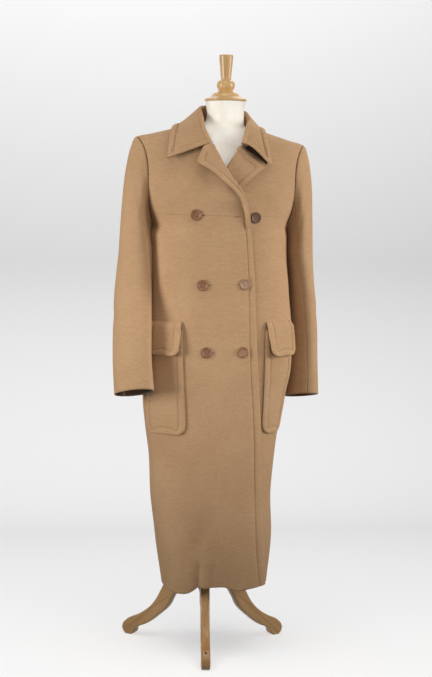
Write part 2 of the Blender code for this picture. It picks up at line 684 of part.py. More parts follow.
torso = np.stack(
    [
        torso_sway[:, None] + torso_half[:, None] * np.sin(torso_turn),
        -torso_depth * np.cos(torso_turn),
        np.repeat(torso_heights[:, None], TORSO_SIDES, axis=1),
    ],
    axis=-1,
)
torso_index = np.arange(len(torso_heights) * TORSO_SIDES).reshape(-1, TORSO_SIDES)
torso_faces = [torso_index[0, ::-1].tolist(), torso_index[-1].tolist()]
for low, high in zip(torso_index[:-1], torso_index[1:]):
    for j in range(TORSO_SIDES):
        k = (j + 1) % TORSO_SIDES
        torso_faces.append([int(low[j]), int(low[k]), int(high[k]), int(high[j])])
add_mesh("form_torso", hang(torso).reshape(-1, 3), torso_faces, LINEN)

# The neck cap, turned in one piece: a flared plate, a bead and a tapered handle.
NECK_X = 12.5
CAP_PROFILE = (
    (0, 1519), (16.5, 1519), (18, 1517), (17.2, 1505), (13, 1458), (14, 1455), (20.5, 1452), (23, 1446),
    (23, 1438), (20, 1431), (17.5, 1428), (24, 1424.5), (31.5, 1422), (36, 1415), (44, 1410), (53, 1408),
    (53.6, 1405.5), (52.5, 1402.5), (0, 1402.5),
)
turned("neck_cap", CAP_PROFILE, (NECK_X, 0, 0), (0, 0, 0), WOOD, CAP_SIDES)

# The stand: a round pole under the torso with a turned foot, and three curved legs.
POLE_X = -26.0
POLE_RADIUS = 17.0
POLE_PROFILE = (
    (0, 639.6), (POLE_RADIUS, 639.6), (POLE_RADIUS, 128), (20, 122), (20, 112), (14, 104), (12, 96), (0, 90),
)
turned("pole", POLE_PROFILE, (POLE_X, 0, 0), (0, 0, 0), WOOD, POLE_SIDES)
LEG_OUTLINE = (
    # reach, height
    (17.5, 262), (54, 243), (86, 206), (107, 168), (121, 138), (145, 97), (168, 74), (198, 55), (226, 41),
    (241, 22), (238, 7), (230, 0), (214, 0), (204, 7), (199, 19), (168, 35), (129, 65), (102, 91), (88, 117),
    (66, 146), (17.5, 160),
)
LEG_THICKNESS = 23.0
LEG_FACES = -95.5
LEG_NAMES = ("leg_front", "leg_left", "leg_right")
for number, leg_name in enumerate(LEG_NAMES):
    curve = bpy.data.curves.new(leg_name, "CURVE")
    curve.dimensions = "2D"
    curve.fill_mode = "BOTH"
    curve.extrude = LEG_THICKNESS / 2 * MM
    curve.resolution_u = 3
    outline = curve.splines.new("BEZIER")
    outline.bezier_points.add(len(LEG_OUTLINE) - 1)
    for point, (reach, height) in zip(outline.bezier_points, LEG_OUTLINE):
        point.co = (reach * MM, height * MM, 0)
        corner = reach < POLE_RADIUS + 1 or height == 0
        point.handle_left_type = "VECTOR" if corner else "AUTO"
        point.handle_right_type = "VECTOR" if corner else "AUTO"
    outline.use_cyclic_u = True
    curve.materials.append(WOOD)
    leg = bpy.data.objects.new(leg_name, curve)
    leg.location = [(value + shift) * MM for value, shift in zip((POLE_X, 0, 0), ORIGIN)]
    leg.rotation_euler = (math.pi / 2, 0, math.radians(LEG_FACES + 120 * number))
    weld = leg.modifiers.new("weld", "WELD")
    weld.merge_threshold = WELD
    COAT.objects.link(leg)
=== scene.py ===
"""A long double-breasted camel wool coat on a limbless dress form with a wooden cap and tripod."""

import math

import bpy
import numpy as np
from mathutils import Matrix


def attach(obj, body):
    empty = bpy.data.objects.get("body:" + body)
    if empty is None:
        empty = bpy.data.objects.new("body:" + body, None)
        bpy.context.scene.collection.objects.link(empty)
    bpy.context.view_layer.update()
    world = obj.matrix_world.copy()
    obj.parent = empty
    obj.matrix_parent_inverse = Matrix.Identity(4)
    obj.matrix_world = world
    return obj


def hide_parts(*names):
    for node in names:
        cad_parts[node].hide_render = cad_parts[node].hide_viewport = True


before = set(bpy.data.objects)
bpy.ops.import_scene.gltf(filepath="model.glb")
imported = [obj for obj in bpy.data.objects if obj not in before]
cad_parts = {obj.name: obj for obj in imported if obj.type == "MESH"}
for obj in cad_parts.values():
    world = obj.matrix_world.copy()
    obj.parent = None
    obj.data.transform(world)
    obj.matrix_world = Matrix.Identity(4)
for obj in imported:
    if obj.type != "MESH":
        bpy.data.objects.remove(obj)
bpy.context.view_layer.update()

# Camera: at the photograph's angle, a little to the wearer's right of the front and above the waist.
# Sizes are millimetres from the coat's own middle line, which stands at SHIFT in the row frame.
MM = 0.001
SHIFT = np.array((4.9, 43.3, 0.0))
camera_turn, camera_pitch, camera_roll = np.radians((7.5, 5.0, 0.8))
camera_away, camera_height, camera_aside = 4200.0, 1167.0, -3.6
camera_right = np.array((math.cos(camera_turn), -math.sin(camera_turn), 0))
camera_level = np.array((math.sin(camera_turn), math.cos(camera_turn), 0))
camera_ahead = math.cos(camera_pitch) * camera_level - math.sin(camera_pitch) * np.array((0, 0, 1))
camera_up = np.cross(camera_right, camera_ahead)
camera_place = camera_right * camera_aside - camera_level * camera_away + (0, 0, camera_height)
rolled_right = camera_right * math.cos(camera_roll) + camera_up * math.sin(camera_roll)
rolled_up = camera_up * math.cos(camera_roll) - camera_right * math.sin(camera_roll)
camera_data = bpy.data.cameras.new("camera")
camera_data.sensor_width = 36.0
camera_data.lens = 87.5
camera = bpy.data.objects.new("camera", camera_data)
camera_axes = np.eye(4)
camera_axes[:3, :3] = np.stack([rolled_right, rolled_up, -camera_ahead], axis=1)
camera_axes[:3, 3] = (camera_place + SHIFT) * MM
camera.matrix_world = Matrix(camera_axes.tolist())
bpy.context.scene.collection.objects.link(camera)
bpy.context.scene.camera = camera


def table(rows, column, at):
    """A column of a table at the given keys, which are its first column: a monotone cubic through its rows."""
    keys = np.array([row[0] for row in rows], float)
    values = np.array([row[column] for row in rows], float)
    step = np.diff(keys)
    slope = np.diff(values) / step
    before, after = slope[:-1], slope[1:]
    same = before * after > 0
    first, second = 2 * step[1:] + step[:-1], step[1:] + 2 * step[:-1]
    mean = (first + second) / (first / np.where(same, before, 1) + second / np.where(same, after, 1))
    tangent = np.concatenate([slope[:1], np.where(same, mean, 0), slope[-1:]])
    at = np.clip(np.asarray(at, float), keys[0], keys[-1])
    cell = np.clip(np.searchsorted(keys, at, side="right") - 1, 0, len(step) - 1)
    width = step[cell]
    t = (at - keys[cell]) / width
    rise = t * t * (3 - 2 * t)
    bend = t * (1 - t) ** 2 * tangent[cell] - t * t * (1 - t) * tangent[cell + 1]
    return values[cell] * (1 - rise) + values[cell + 1] * rise + width * bend


def ease(value, low, high):
    """0 below low, 1 above high, and a soft rise between them."""
    t = np.clip((np.asarray(value, float) - low) / (high - low), 0, 1)
    return t * t * (3 - 2 * t)


def unit(vectors):
    """Vectors scaled to length 1."""
    return vectors / np.maximum(np.linalg.norm(vectors, axis=-1, keepdims=True), 1e-9)


def linear(code):
    """The linear colour of an sRGB hex code, with alpha 1."""
    parts = np.array([int(code[i:i + 2], 16) / 255 for i in (1, 3, 5)])
    parts = np.where(parts <= 0.04045, parts / 12.92, ((parts + 0.055) / 1.055) ** 2.4)
    return (*parts.tolist(), 1.0)


def feed(tree, node, inputs):
    """Gives each named input of a node its value, or a link when it is given another node's socket."""
    for name, value in dict(inputs).items():
        if isinstance(value, bpy.types.NodeSocket):
            tree.links.new(value, node.inputs[name])
        else:
            node.inputs[name].default_value = value


def add(tree, kind, inputs=(), **settings):
    """Adds a node with its settings and its inputs."""
    made = tree.nodes.new(kind)
    for name, value in settings.items():
        setattr(made, name, value)
    feed(tree, made, inputs)
    return made


def tones(tree, value, low, high, ends=(0, 1)):
    """A ramp between two sRGB codes, over a value's range between the two ends."""
    made = add(tree, "ShaderNodeValToRGB", {"Fac": value})
    for stop, place, code in zip(made.color_ramp.elements, ends, (low, high)):
        stop.position, stop.color = place, linear(code)
    return made.outputs["Color"]


def material(name):
    """A new material, with its node tree and its shader."""
    made = bpy.data.materials.new(name)
    made.use_nodes = True
    return made, made.node_tree, made.node_tree.nodes["Principled BSDF"]


def piece(name, points, faces, materials, slots=None):
    """A smooth mesh piece from points in millimetres and faces, riding on the one body; slots is per face."""
    mesh = bpy.data.meshes.new(name)
    mesh.from_pydata(((np.asarray(points, float) + SHIFT) * MM).tolist(), [], [list(map(int, face)) for face in faces])
    for material in materials:
        mesh.materials.append(material)
    if slots is not None:
        mesh.polygons.foreach_set("material_index", np.asarray(slots, np.int32))
    mesh.polygons.foreach_set("use_smooth", np.ones(len(mesh.polygons), bool))
    made = bpy.data.objects.new(name, mesh)
    bpy.context.scene.collection.objects.link(made)
    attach(made, "root")
    return made


def loft(rings, closed_ends=True):
    """Faces between rings of points, each ring closed on itself, with the first and last ring capped."""
    rows, columns = rings.shape[:2]
    index = np.arange(rows * columns).reshape(rows, columns)
    here, there = index[:-1], np.roll(index, -1, axis=1)[:-1]
    above, beyond = index[1:], np.roll(index, -1, axis=1)[1:]
    faces = np.stack([here, there, beyond, above], axis=-1).reshape(-1, 4).tolist()
    if closed_ends:
        faces += [index[0, ::-1].tolist(), index[-1].tolist()]
    return faces


# Stand: a turned beech pole with three legs sawn from plank, rounded along their edges and varnished.
# Each leg is its outline cut to one thickness; the grain runs out along the leg and up along the pole.
# A dark disc on the front leg is painted shade, standing in for the shade inside its screw hole.
WOOD = "#CDA166", "#B1814A", "#7F532B"
# Dark wood tones for the disc on the front leg: painted shade of its screw hole.
SCREW_HOLE_SHADE_TONES = "#4A3018", "#3C2612", "#2C1B0C"


def wood(name, light, mid, dark):
    """Varnished beech: fine long fibres and slow tone bands that follow the grain attribute's first axis."""
    made, tree, shader = material(name)
    place = add(tree, "ShaderNodeAttribute", attribute_name="grain").outputs["Vector"]
    long = add(tree, "ShaderNodeMapping", {"Vector": place, "Scale": (0.006, 0.11, 0.11)}).outputs["Vector"]
    bands = add(tree, "ShaderNodeTexNoise", {"Vector": long, "Scale": 1.6, "Detail": 4, "Distortion": 0.8})
    thin = add(tree, "ShaderNodeMapping", {"Vector": place, "Scale": (0.03, 1.1, 1.1)}).outputs["Vector"]
    fibre = add(tree, "ShaderNodeTexNoise", {"Vector": thin, "Scale": 1.0, "Detail": 3}).outputs["Fac"]
    tone = tones(tree, bands.outputs["Fac"], mid, light, (0.30, 0.72))
    streak = tones(tree, fibre, dark, "#FFFFFF", (0.30, 0.46))
    mixed = add(tree, "ShaderNodeMix", data_type="RGBA", blend_type="MULTIPLY")
    feed(tree, mixed, {0: 0.45, 6: tone, 7: streak})
    bump = add(tree, "ShaderNodeBump", {"Height": fibre, "Strength": 0.12, "Distance": 0.0004})
    feed(tree, shader, {"Base Color": mixed.outputs[2], "Normal": bump.outputs["Normal"], "Roughness": 0.38})
    feed(tree, shader, {"Coat Weight": 0.25, "Coat Roughness": 0.25})
    return made


def grain_along(made, places):
    """Stores each vertex's place in the timber, in millimetres, with the grain along the first axis."""
    layer = made.data.attributes.new("grain", "FLOAT_VECTOR", "POINT")
    layer.data.foreach_set("vector", np.asarray(places, np.float32).ravel())


def turned(name, profile, centre, steps, material, rounds=2):
    """A turned piece: a profile of radius and height whose corners are cut twice, spun round an upright axis."""
    line = np.asarray(profile, float)
    for _ in range(rounds):
        near, far = line[:-1] * 0.75 + line[1:] * 0.25, line[:-1] * 0.25 + line[1:] * 0.75
        line = np.concatenate([line[:1], np.stack([near, far], axis=1).reshape(-1, 2), line[-1:]])
    line = line[(line[:, 0] > 0.05)][::-1]
    angle = np.linspace(0, 2 * math.pi, steps, endpoint=False)
    rings = np.stack(
        [line[:, :1] * np.cos(angle), line[:, :1] * np.sin(angle), np.repeat(line[:, 1:], steps, axis=1)], axis=-1
    )
    made = piece(name, (rings + (*centre, 0)).reshape(-1, 3), loft(rings), [material])
    grain_along(made, rings.reshape(-1, 3)[:, ::-1])
    return made


beech = wood("varnished_beech", *WOOD)
POLE_X = -26.0
POLE_PROFILE = (
    (0, 639.6), (17, 639.6), (17, 630), (17, 300), (17, 152), (11, 142), (11, 112), (10, 104), (9, 96), (0, 90),
)
pole = turned("stand_pole", POLE_PROFILE, (POLE_X, 0), 64, beech, rounds=1)
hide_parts("pole")
LEG_OUTLINE = (
    # reach, height
    (17.5, 262), (54, 243), (86, 206), (107, 168), (121, 138), (145, 97), (168, 74), (198, 55), (226, 41),
    (241, 22), (238, 7), (230, 0), (214, 0), (204, 7), (199, 19), (168, 35), (129, 65), (102, 91), (88, 117),
    (66, 146), (17.5, 160),
)
LEG_THICKNESS, LEG_ROUND, LEG_ROOT = 23.0, 4.0, 17.5
LEG_GRAIN_SLOPE, FRONT_LEG_TURN, LEG_APART = math.radians(-42), math.radians(-95.5), math.radians(120)
for number, node in enumerate(("leg_front", "leg_left", "leg_right")):
    curve = bpy.data.curves.new("leg_outline", "CURVE")
    curve.dimensions = "2D"
    curve.fill_mode = "BOTH"
    curve.extrude = LEG_THICKNESS / 2 - LEG_ROUND
    curve.bevel_depth, curve.bevel_resolution, curve.offset = LEG_ROUND, 3, -LEG_ROUND
    curve.resolution_u = 8
    outline = curve.splines.new("BEZIER")
    outline.bezier_points.add(len(LEG_OUTLINE) - 1)
    for point, (reach, height) in zip(outline.bezier_points, LEG_OUTLINE):
        point.co = (reach, height, 0)
        corner = reach == LEG_ROOT or height == 0
        point.handle_left_type = point.handle_right_type = "VECTOR" if corner else "AUTO"
    outline.use_cyclic_u = True
    sawn = bpy.data.objects.new("leg_outline", curve)
    shape = sawn.to_mesh()
    local = np.empty(len(shape.vertices) * 3)
    shape.vertices.foreach_get("co", local)
    local = local.reshape(-1, 3)
    faces = [list(face.vertices) for face in shape.polygons]
    sawn.to_mesh_clear()
    bpy.data.objects.remove(sawn)
    leg_turn = FRONT_LEG_TURN + LEG_APART * number
    along = np.array((math.cos(leg_turn), math.sin(leg_turn), 0))
    aside = np.array((math.sin(leg_turn), -math.cos(leg_turn), 0))
    placed = local[:, :1] * along + local[:, 1:2] * (0, 0, 1) + local[:, 2:] * aside + (POLE_X, 0, 0)
    leg = piece("stand_" + node, placed, faces, [beech])
    leg.data.set_sharp_from_angle(angle=math.radians(40))
    slope_cos, slope_sin = math.cos(LEG_GRAIN_SLOPE), math.sin(LEG_GRAIN_SLOPE)
    run = local[:, 0] * slope_cos + local[:, 1] * slope_sin
    rise = local[:, 1] * slope_cos - local[:, 0] * slope_sin
    grain_along(leg, np.stack([run, rise, local[:, 2]], axis=-1))
    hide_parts(node)

# The disc sits over the screw hole, a little proud of the leg; its darkness is painted shade of the hole.
SCREW_HOLE_REACH, SCREW_HOLE_HEIGHT, SCREW_HOLE_RADIUS, SCREW_HOLE_PROUD, SCREW_HOLE_SLOPE = 226.0, 41.0, 3.0, 0.5, math.radians(52)
screw_hole_ahead = np.array((math.cos(FRONT_LEG_TURN), math.sin(FRONT_LEG_TURN), 0))
screw_hole_aside = np.array((-screw_hole_ahead[1], screw_hole_ahead[0], 0))
screw_hole_out = screw_hole_ahead * math.cos(SCREW_HOLE_SLOPE) + (0, 0, math.sin(SCREW_HOLE_SLOPE))
screw_hole_up = np.cross(screw_hole_out, screw_hole_aside)
screw_hole_at = screw_hole_ahead * SCREW_HOLE_REACH + (POLE_X, 0, SCREW_HOLE_HEIGHT)
screw_hole_turn = np.linspace(0, 2 * math.pi, 24, endpoint=False)[:, None]
screw_hole_disc = SCREW_HOLE_RADIUS * (np.cos(screw_hole_turn) * screw_hole_aside + np.sin(screw_hole_turn) * screw_hole_up)
screw_hole_rings = np.stack([screw_hole_at + screw_hole_disc - screw_hole_out, screw_hole_at + screw_hole_disc * 0.9 + screw_hole_out * SCREW_HOLE_PROUD])
screw_hole_points = screw_hole_rings.reshape(-1, 3)
painted_screw_hole = piece("stand_screw_hole_painted_shade", screw_hole_points, loft(screw_hole_rings), [wood("screw_hole_painted_shade", *SCREW_HOLE_SHADE_TONES)])
grain_along(painted_screw_hole, screw_hole_points)

# Dress form: a padded torso under a tight cream linen cover, with a seam round the neck.
# Level sections lofted from hip to neck; it is flat below and under the cap.
TORSO = (
    # height, half width, front, back, sway
    (640, 146, 92, 94, -6), (650, 153, 98, 100, -6), (720, 158, 106, 104, -5), (800, 160, 104, 98, -4),
    (922, 148, 98, 88, -2), (1017, 148, 104, 90, 0), (1100, 154, 106, 98, 0), (1180, 166, 92, 98, 0),
    (1240, 172, 76, 88, 0), (1280, 172, 63, 76, 0), (1298, 168, 57, 68, 0), (1308, 163, 54, 64, 0),
    (1318, 142.5, 52, 60, 0), (1328, 105, 50, 57, 1), (1338, 62, 48, 53, 5), (1350, 50, 46, 50, 11),
    (1362, 47, 46, 48, 12), (1402, 50, 50, 50, 12.5),
)
TORSO_INSET = 1.4
TORSO_BARE = (1344, 1362)
NECK_SEAM, NECK_SEAM_DEPTH, NECK_SEAM_WIDTH = 1366.0, 0.35, 1.6
LINEN, LINEN_SHADE = "#F3EEE4", "#E4DCCD"
SHOULDER_FALL, FALL_STARTS, FALL_ENDS = 0.035, (1000, 1250), (1340, 1400)


def hang(points):
    """The shoulder line tips a little down to the wearer's left: height falls with x between chest and neck."""
    x, y, z = np.moveaxis(np.asarray(points, float), -1, 0)
    share = ease(z, *FALL_STARTS) * (1 - ease(z, *FALL_ENDS))
    return np.stack([x, y, z - SHOULDER_FALL * x * share], axis=-1)


def linen(name):
    """Plain woven linen: an uneven thread relief of about 0.9 mm, with slow clouds of tone of about 55 mm."""
    made, tree, shader = material(name)
    place = add(tree, "ShaderNodeTexCoord").outputs["Object"]
    cloud = add(tree, "ShaderNodeTexNoise", {"Vector": place, "Scale": 18.0, "Detail": 3}).outputs["Fac"]
    tone = tones(tree, cloud, LINEN_SHADE, LINEN, (0.35, 0.65))
    weave = add(tree, "ShaderNodeTexNoise", {"Vector": place, "Scale": 1100.0, "Detail": 1}).outputs["Fac"]
    bump = add(tree, "ShaderNodeBump", {"Height": weave, "Strength": 0.25, "Distance": 0.0004})
    feed(tree, shader, {"Base Color": tone, "Normal": bump.outputs["Normal"]})
    feed(tree, shader, {"Roughness": 0.85, "Sheen Weight": 0.15})
    return made


torso_heights = np.linspace(TORSO[0][0], TORSO[-1][0], 120)
torso_heights = np.unique(np.concatenate([torso_heights, NECK_SEAM + np.linspace(-4, 4, 9)]))
torso_turn = np.linspace(0, 2 * math.pi, 96, endpoint=False)
torso_half, torso_front, torso_back, torso_sway = (table(TORSO, c, torso_heights)[:, None] for c in (1, 2, 3, 4))
seam_dent = NECK_SEAM_DEPTH * np.exp(-((torso_heights - NECK_SEAM) / NECK_SEAM_WIDTH) ** 2)
torso_in = (TORSO_INSET * (1 - ease(torso_heights, *TORSO_BARE)) + seam_dent)[:, None]
torso_depth = np.where(np.cos(torso_turn) > 0, torso_front, torso_back) - torso_in
torso_rings = np.stack(
    [
        torso_sway + (torso_half - torso_in) * np.sin(torso_turn),
        -torso_depth * np.cos(torso_turn),
        np.repeat(torso_heights[:, None], len(torso_turn), axis=1),
    ],
    axis=-1,
)
torso = piece("form_cover", hang(torso_rings).reshape(-1, 3), loft(torso_rings), [linen("cream_linen")])
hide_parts("form_torso")

# Neck cap: one turning of lighter beech with a flared plate, a bead and a tapered handle.
# A profile spun round the neck's axis, seated on the flat top of the form.
PALE_WOOD = "#E6BE80", "#D2A468", "#A87A45"
CAP_PROFILE = (
    (0, 1519), (12, 1519), (16.5, 1518.6), (18, 1516.5), (17.2, 1505), (15, 1482), (13, 1460), (13, 1457),
    (15, 1454.6), (20.5, 1452), (23, 1446), (23, 1438), (20, 1431.5), (17.6, 1428.6), (18.4, 1427), (24, 1424.5),
    (31.5, 1422), (35.5, 1416), (37.5, 1412.6), (44, 1410.2), (51, 1408.6), (53.4, 1407.6), (53.6, 1405),
    (52.5, 1402.6), (49, 1402.5), (0, 1402.5),
)
NECK_X = 12.5
cap = turned("form_cap", CAP_PROFILE, (NECK_X, 0), 72, wood("pale_beech", *PALE_WOOD))
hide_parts("neck_cap")

# Coat body: two fronts with yokes and one back, cut from napped camel wool and lined with brown twill.
# Level sections with a flattened round outline, dented by the hem's folds and by the soft drape above it.
CLOTH, SEAM, OVERLAP, ROUNDNESS = 2.6, 0.24, 4.3, 2.2
BODY = (
    # height, half width, front, back, middle, sway
    (168, 135, 140, 150, 0, -1), (300, 150, 145, 152, -8, -6), (420, 155, 146, 150, -14, -15),
    (500, 160, 145, 147, -20, -14), (572, 169, 143, 143, -25, -15), (660, 181, 140, 137, -30, -12),
    (737, 187, 138, 130, -30, -3), (817, 186, 135, 122, -30, 0), (922, 178, 130, 112, -22, 0),
    (1017, 174.5, 128, 112, -10, -2.5), (1066, 175.5, 127.3, 115, -3, -3), (1082, 170, 127, 116, 0, 0),
    (1137, 188, 124, 118, 0, 0), (1192, 201, 113, 116, 0, 0), (1247, 207, 96, 106, 0, 0), (1279, 210, 82, 95, 0, 0),
    (1302, 211, 72, 85, 0, 0), (1312, 176, 69, 80, 0, 0), (1322, 140, 66, 76, 0, 0),
    (1332, 105, 64, 71, 0, 0), (1342, 70, 62, 66, 0, 0),
)
HEM, NECKLINE = BODY[0][0], BODY[-1][0]
FOLDS = (
    # turn, spread, depth, top
    (-23, 8, 8, 400), (-4, 7, 7, 360), (-48, 14, -7, 420), (28, 12, 5, 420), (150, 12, 7, 480),
    (180, 10, -5, 520), (208, 12, 7, 460),
)
HEM_DIPS = (
    # turn, spread, drop
    (-48, 22, 5), (-24, 7, -14), (-10, 10, -12.5), (4, 9, -13), (60, 45, -9),
)
CREASES = (
    # from turn, height, to turn, height, width, depth
    (-30, 470, -12, 260, 26, 2.2), (-62, 520, -34, 300, 30, 2.4), (-8, 420, 2, 240, 22, -1.6),
    (20, 560, 10, 300, 26, 1.6), (-70, 905, -48, 820, 30, 1.8), (60, 900, 44, 800, 26, 1.4),
    (-64, 1090, -40, 1150, 24, 2.0), (62, 1090, 44, 1140, 24, 2.0), (-58, 1210, -66, 1120, 20, 1.8),
    (58, 1205, 66, 1120, 20, 1.8), (160, 1120, 140, 980, 32, 2.4), (200, 1120, 222, 980, 32, 2.4),
    (180, 900, 176, 600, 40, 2.0), (165, 700, 150, 420, 30, 1.8), (196, 720, 212, 430, 30, 1.8),
    (120, 900, 132, 760, 30, 1.6), (-120, 900, -132, 760, 30, 1.6), (-24, 172, -22, 225, 13, 3.4),
    (-10.5, 172, -9, 222, 12, 3.4), (-17, 172, -15, 235, 14, -1.4), (-34, 250, -14, 330, 22, 2.6),
)
TURN_MM = 3.0
RIGHT_EDGE = (
    # height, x
    (168, 118), (430, 100), (572, 95), (775, 82), (944, 74), (1031, 67.5), (1060, 65), (1082, 62), (1108, 57),
    (1126, 53), (1153, 44), (1177, 31), (1205, 9), (1235, -9), (1265, -23), (1288, -37), (1302, -45), (1322, -57),
    (1342, -67),
)
LEFT_EDGE = (
    (168, -40), (775, -60), (1082, -58), (1126, -42), (1153, -32), (1177, -22), (1205, -5), (1235, 10),
    (1265, 30), (1288, 44), (1302, 50), (1322, 59), (1342, 67),
)
UNDERARM, SHOULDER, YOKE = 1082.0, 1302.0, 1114.2
SIDE_AT_ARM, SIDE_AT_HEM, SIDE_SETTLES = 95.0, 104.0, 700.0
ARM_BOW_FRONT, ARM_BOW_BACK = -17.0, 16.0
WOOL, THREAD = ("#C49F79", "#B7916B", "#8C6A4A"), ("#AE865D", "#A27C53", "#7C5A39")
WOOL_SHEEN, LINING, LINING_SHADE = "#E8CDAA", "#5B3F2A", "#4C3423"
FRONT_WELT = (
    # height, inset of the stitch line
    (168, 32), (430, 25), (572, 21), (775, 18), (944, 14.5), (1084, 12.5),
)
WELT_FADES, EDGE_STITCHED_TO = (1086, 1106), 1078.0
OVERLAP_TURNS, ROLL_STAND, ROLL_TURNS, ROLL_STARTS, ROLL_ENDS = (-62, -34), 10.5, (-24, 4), (1120, 1165), (1228, 1285)
SINK, SINK_TURN, SINK_FADES, SEAM_TURN, HEM_DIP_TOP = 2.4, 2.2, (1060, 1100), 1.6, 150.0


def turn_from(angle, centre):
    """Angle measured from a centre, from -180 to 180 degrees."""
    return (np.asarray(angle, float) - centre + 180) % 360 - 180


def body_point(turn, height):
    """The coat's outer surface: turn is 0 at the front and grows to the wearer's left, height is above the floor."""
    turn, height = np.broadcast_arrays(np.asarray(turn, float), np.asarray(height, float))
    half, front, back, middle, sway = (table(BODY, column, height) for column in range(1, 6))
    sine, cosine = np.sin(np.radians(turn)), np.cos(np.radians(turn))
    depth = np.where(cosine > 0, front + middle, back - middle)
    radius = (np.abs(sine / half) ** ROUNDNESS + np.abs(cosine / depth) ** ROUNDNESS) ** (-1 / ROUNDNESS)
    for centre, spread, dent, top in FOLDS:
        fade = np.clip((top - height) / (top - HEM), 0, 1) ** 1.5
        radius = radius - dent * fade * np.exp(-((turn_from(turn, centre) / spread) ** 2))
    for turn_a, height_a, turn_b, height_b, width, dent in CREASES:
        along_turn, along_height = turn_from(turn_b, turn_a) * TURN_MM, height_b - height_a
        off_turn, off_height = turn_from(turn, turn_a) * TURN_MM, height - height_a
        share = np.clip((off_turn * along_turn + off_height * along_height) / (along_turn**2 + along_height**2), 0, 1)
        away = np.hypot(off_turn - share * along_turn, off_height - share * along_height)
        radius = radius - dent * np.exp(-((away / width) ** 2))
    low = height.copy()
    for centre, spread, drop in HEM_DIPS:
        fade = np.clip(1 - (height - HEM) / HEM_DIP_TOP, 0, 1)
        low = low - drop * fade * np.exp(-((turn_from(turn, centre) / spread) ** 2))
    return np.stack([sway + radius * sine, middle - radius * cosine, low], axis=-1)


def body_normal(turn, height):
    """The outward normal of the coat's surface."""
    across = body_point(np.asarray(turn) + 0.2, height) - body_point(np.asarray(turn) - 0.2, height)
    low, high = np.asarray(height) - 0.6, np.asarray(height) + 0.6
    up = body_point(turn, np.minimum(high, NECKLINE)) - body_point(turn, np.maximum(low, HEM))
    return unit(np.cross(across, up))


def on_body(turn, height, out):
    """A point moved out from the coat's surface along its normal."""
    return body_point(turn, height) + body_normal(turn, height) * np.asarray(out, float)[..., None]


def turn_at(x, height):
    """The turn at which the front of a level section reaches a given x."""
    half, front, middle, sway = (table(BODY, column, height) for column in (1, 2, 4, 5))
    across = np.asarray(x, float) - sway
    share = np.clip(1 - np.abs(across / half) ** ROUNDNESS, 0, 1) ** (1 / ROUNDNESS)
    return np.degrees(np.arctan2(across, (front + middle) * share))


def right_lift(turn, height):
    """How far the right front stands off the body: over the left front, and more over its lapel."""
    over = OVERLAP * ease(turn, *OVERLAP_TURNS)
    return over + ROLL_STAND * ease(turn, *ROLL_TURNS) * ease(height, *ROLL_STARTS) * (1 - ease(height, *ROLL_ENDS))


def left_lift(turn, height):
    """The left front lies on the body, and sinks a little beside the right front's edge."""
    beside = turn - turn_at(table(RIGHT_EDGE, 1, height), height)
    sink = SINK * np.exp(-((beside / SINK_TURN) ** 2)) * (1 - ease(height, *SINK_FADES))
    return np.where(np.asarray(turn) > 0, -sink, 0.0)


def armhole_turn(height, back):
    """The armhole's edge on the front or back: straight between underarm and shoulder, bowed by a sine's root."""
    share = np.clip((np.asarray(height, float) - UNDERARM) / (SHOULDER - UNDERARM), 0, 1)
    bow = np.sqrt(np.clip(np.sin(math.pi * share), 0, 1))
    return SIDE_AT_ARM + (90 - SIDE_AT_ARM) * share + (ARM_BOW_BACK if back else ARM_BOW_FRONT) * bow


def panel_end(height, back):
    """The turn where a panel ends at the side: side seam, then armhole, then shoulder seam."""
    height = np.asarray(height, float)
    side = SIDE_AT_HEM + (SIDE_AT_ARM - SIDE_AT_HEM) * ease(height, SIDE_SETTLES, UNDERARM)
    turn = np.where(height < UNDERARM, side, np.where(height > SHOULDER, 90.0, armhole_turn(height, back)))
    gap = np.degrees(SEAM / 2 / np.maximum(table(BODY, 1, height), 60))
    return turn + gap if back else turn - gap


def wool(name, light, shade, deep):
    """Napped melton: clouds of tone of 110 mm, level streaks of 20 by 3 mm, brushed fibres and a soft sheen."""
    made, tree, shader = material(name)
    place = add(tree, "ShaderNodeTexCoord").outputs["Object"]
    cloud = add(tree, "ShaderNodeTexNoise", {"Vector": place, "Scale": 9.0, "Detail": 2, "Roughness": 0.5})
    level = add(tree, "ShaderNodeMapping", {"Vector": place, "Scale": (0.16, 0.16, 1)}).outputs["Vector"]
    streak = add(tree, "ShaderNodeTexNoise", {"Vector": level, "Scale": 310.0, "Detail": 4, "Roughness": 0.65})
    clouded = add(tree, "ShaderNodeMix", {"Factor": 0.6}, data_type="FLOAT")
    feed(tree, clouded, {2: cloud.outputs["Fac"], 3: streak.outputs["Fac"]})
    brushed = add(tree, "ShaderNodeMapping", {"Vector": place, "Scale": (1, 1, 0.35)}).outputs["Vector"]
    nap = add(tree, "ShaderNodeTexNoise", {"Vector": brushed, "Scale": 700.0, "Detail": 3, "Roughness": 0.6})
    tone = tones(tree, clouded.outputs[0], shade, light, (0.35, 0.65))
    fleck = tones(tree, nap.outputs["Fac"], deep, "#FFFFFF", (0.28, 0.55))
    mixed = add(tree, "ShaderNodeMix", data_type="RGBA", blend_type="MULTIPLY")
    feed(tree, mixed, {0: 0.22, 6: tone, 7: fleck})
    bump = add(tree, "ShaderNodeBump", {"Height": nap.outputs["Fac"], "Strength": 0.18, "Distance": 0.0006})
    feed(tree, shader, {"Base Color": mixed.outputs[2], "Normal": bump.outputs["Normal"], "Roughness": 0.95})
    feed(tree, shader, {"Specular IOR Level": 0.15, "Sheen Weight": 0.25, "Sheen Roughness": 0.5})
    feed(tree, shader, {"Sheen Tint": linear(WOOL_SHEEN)})
    return made


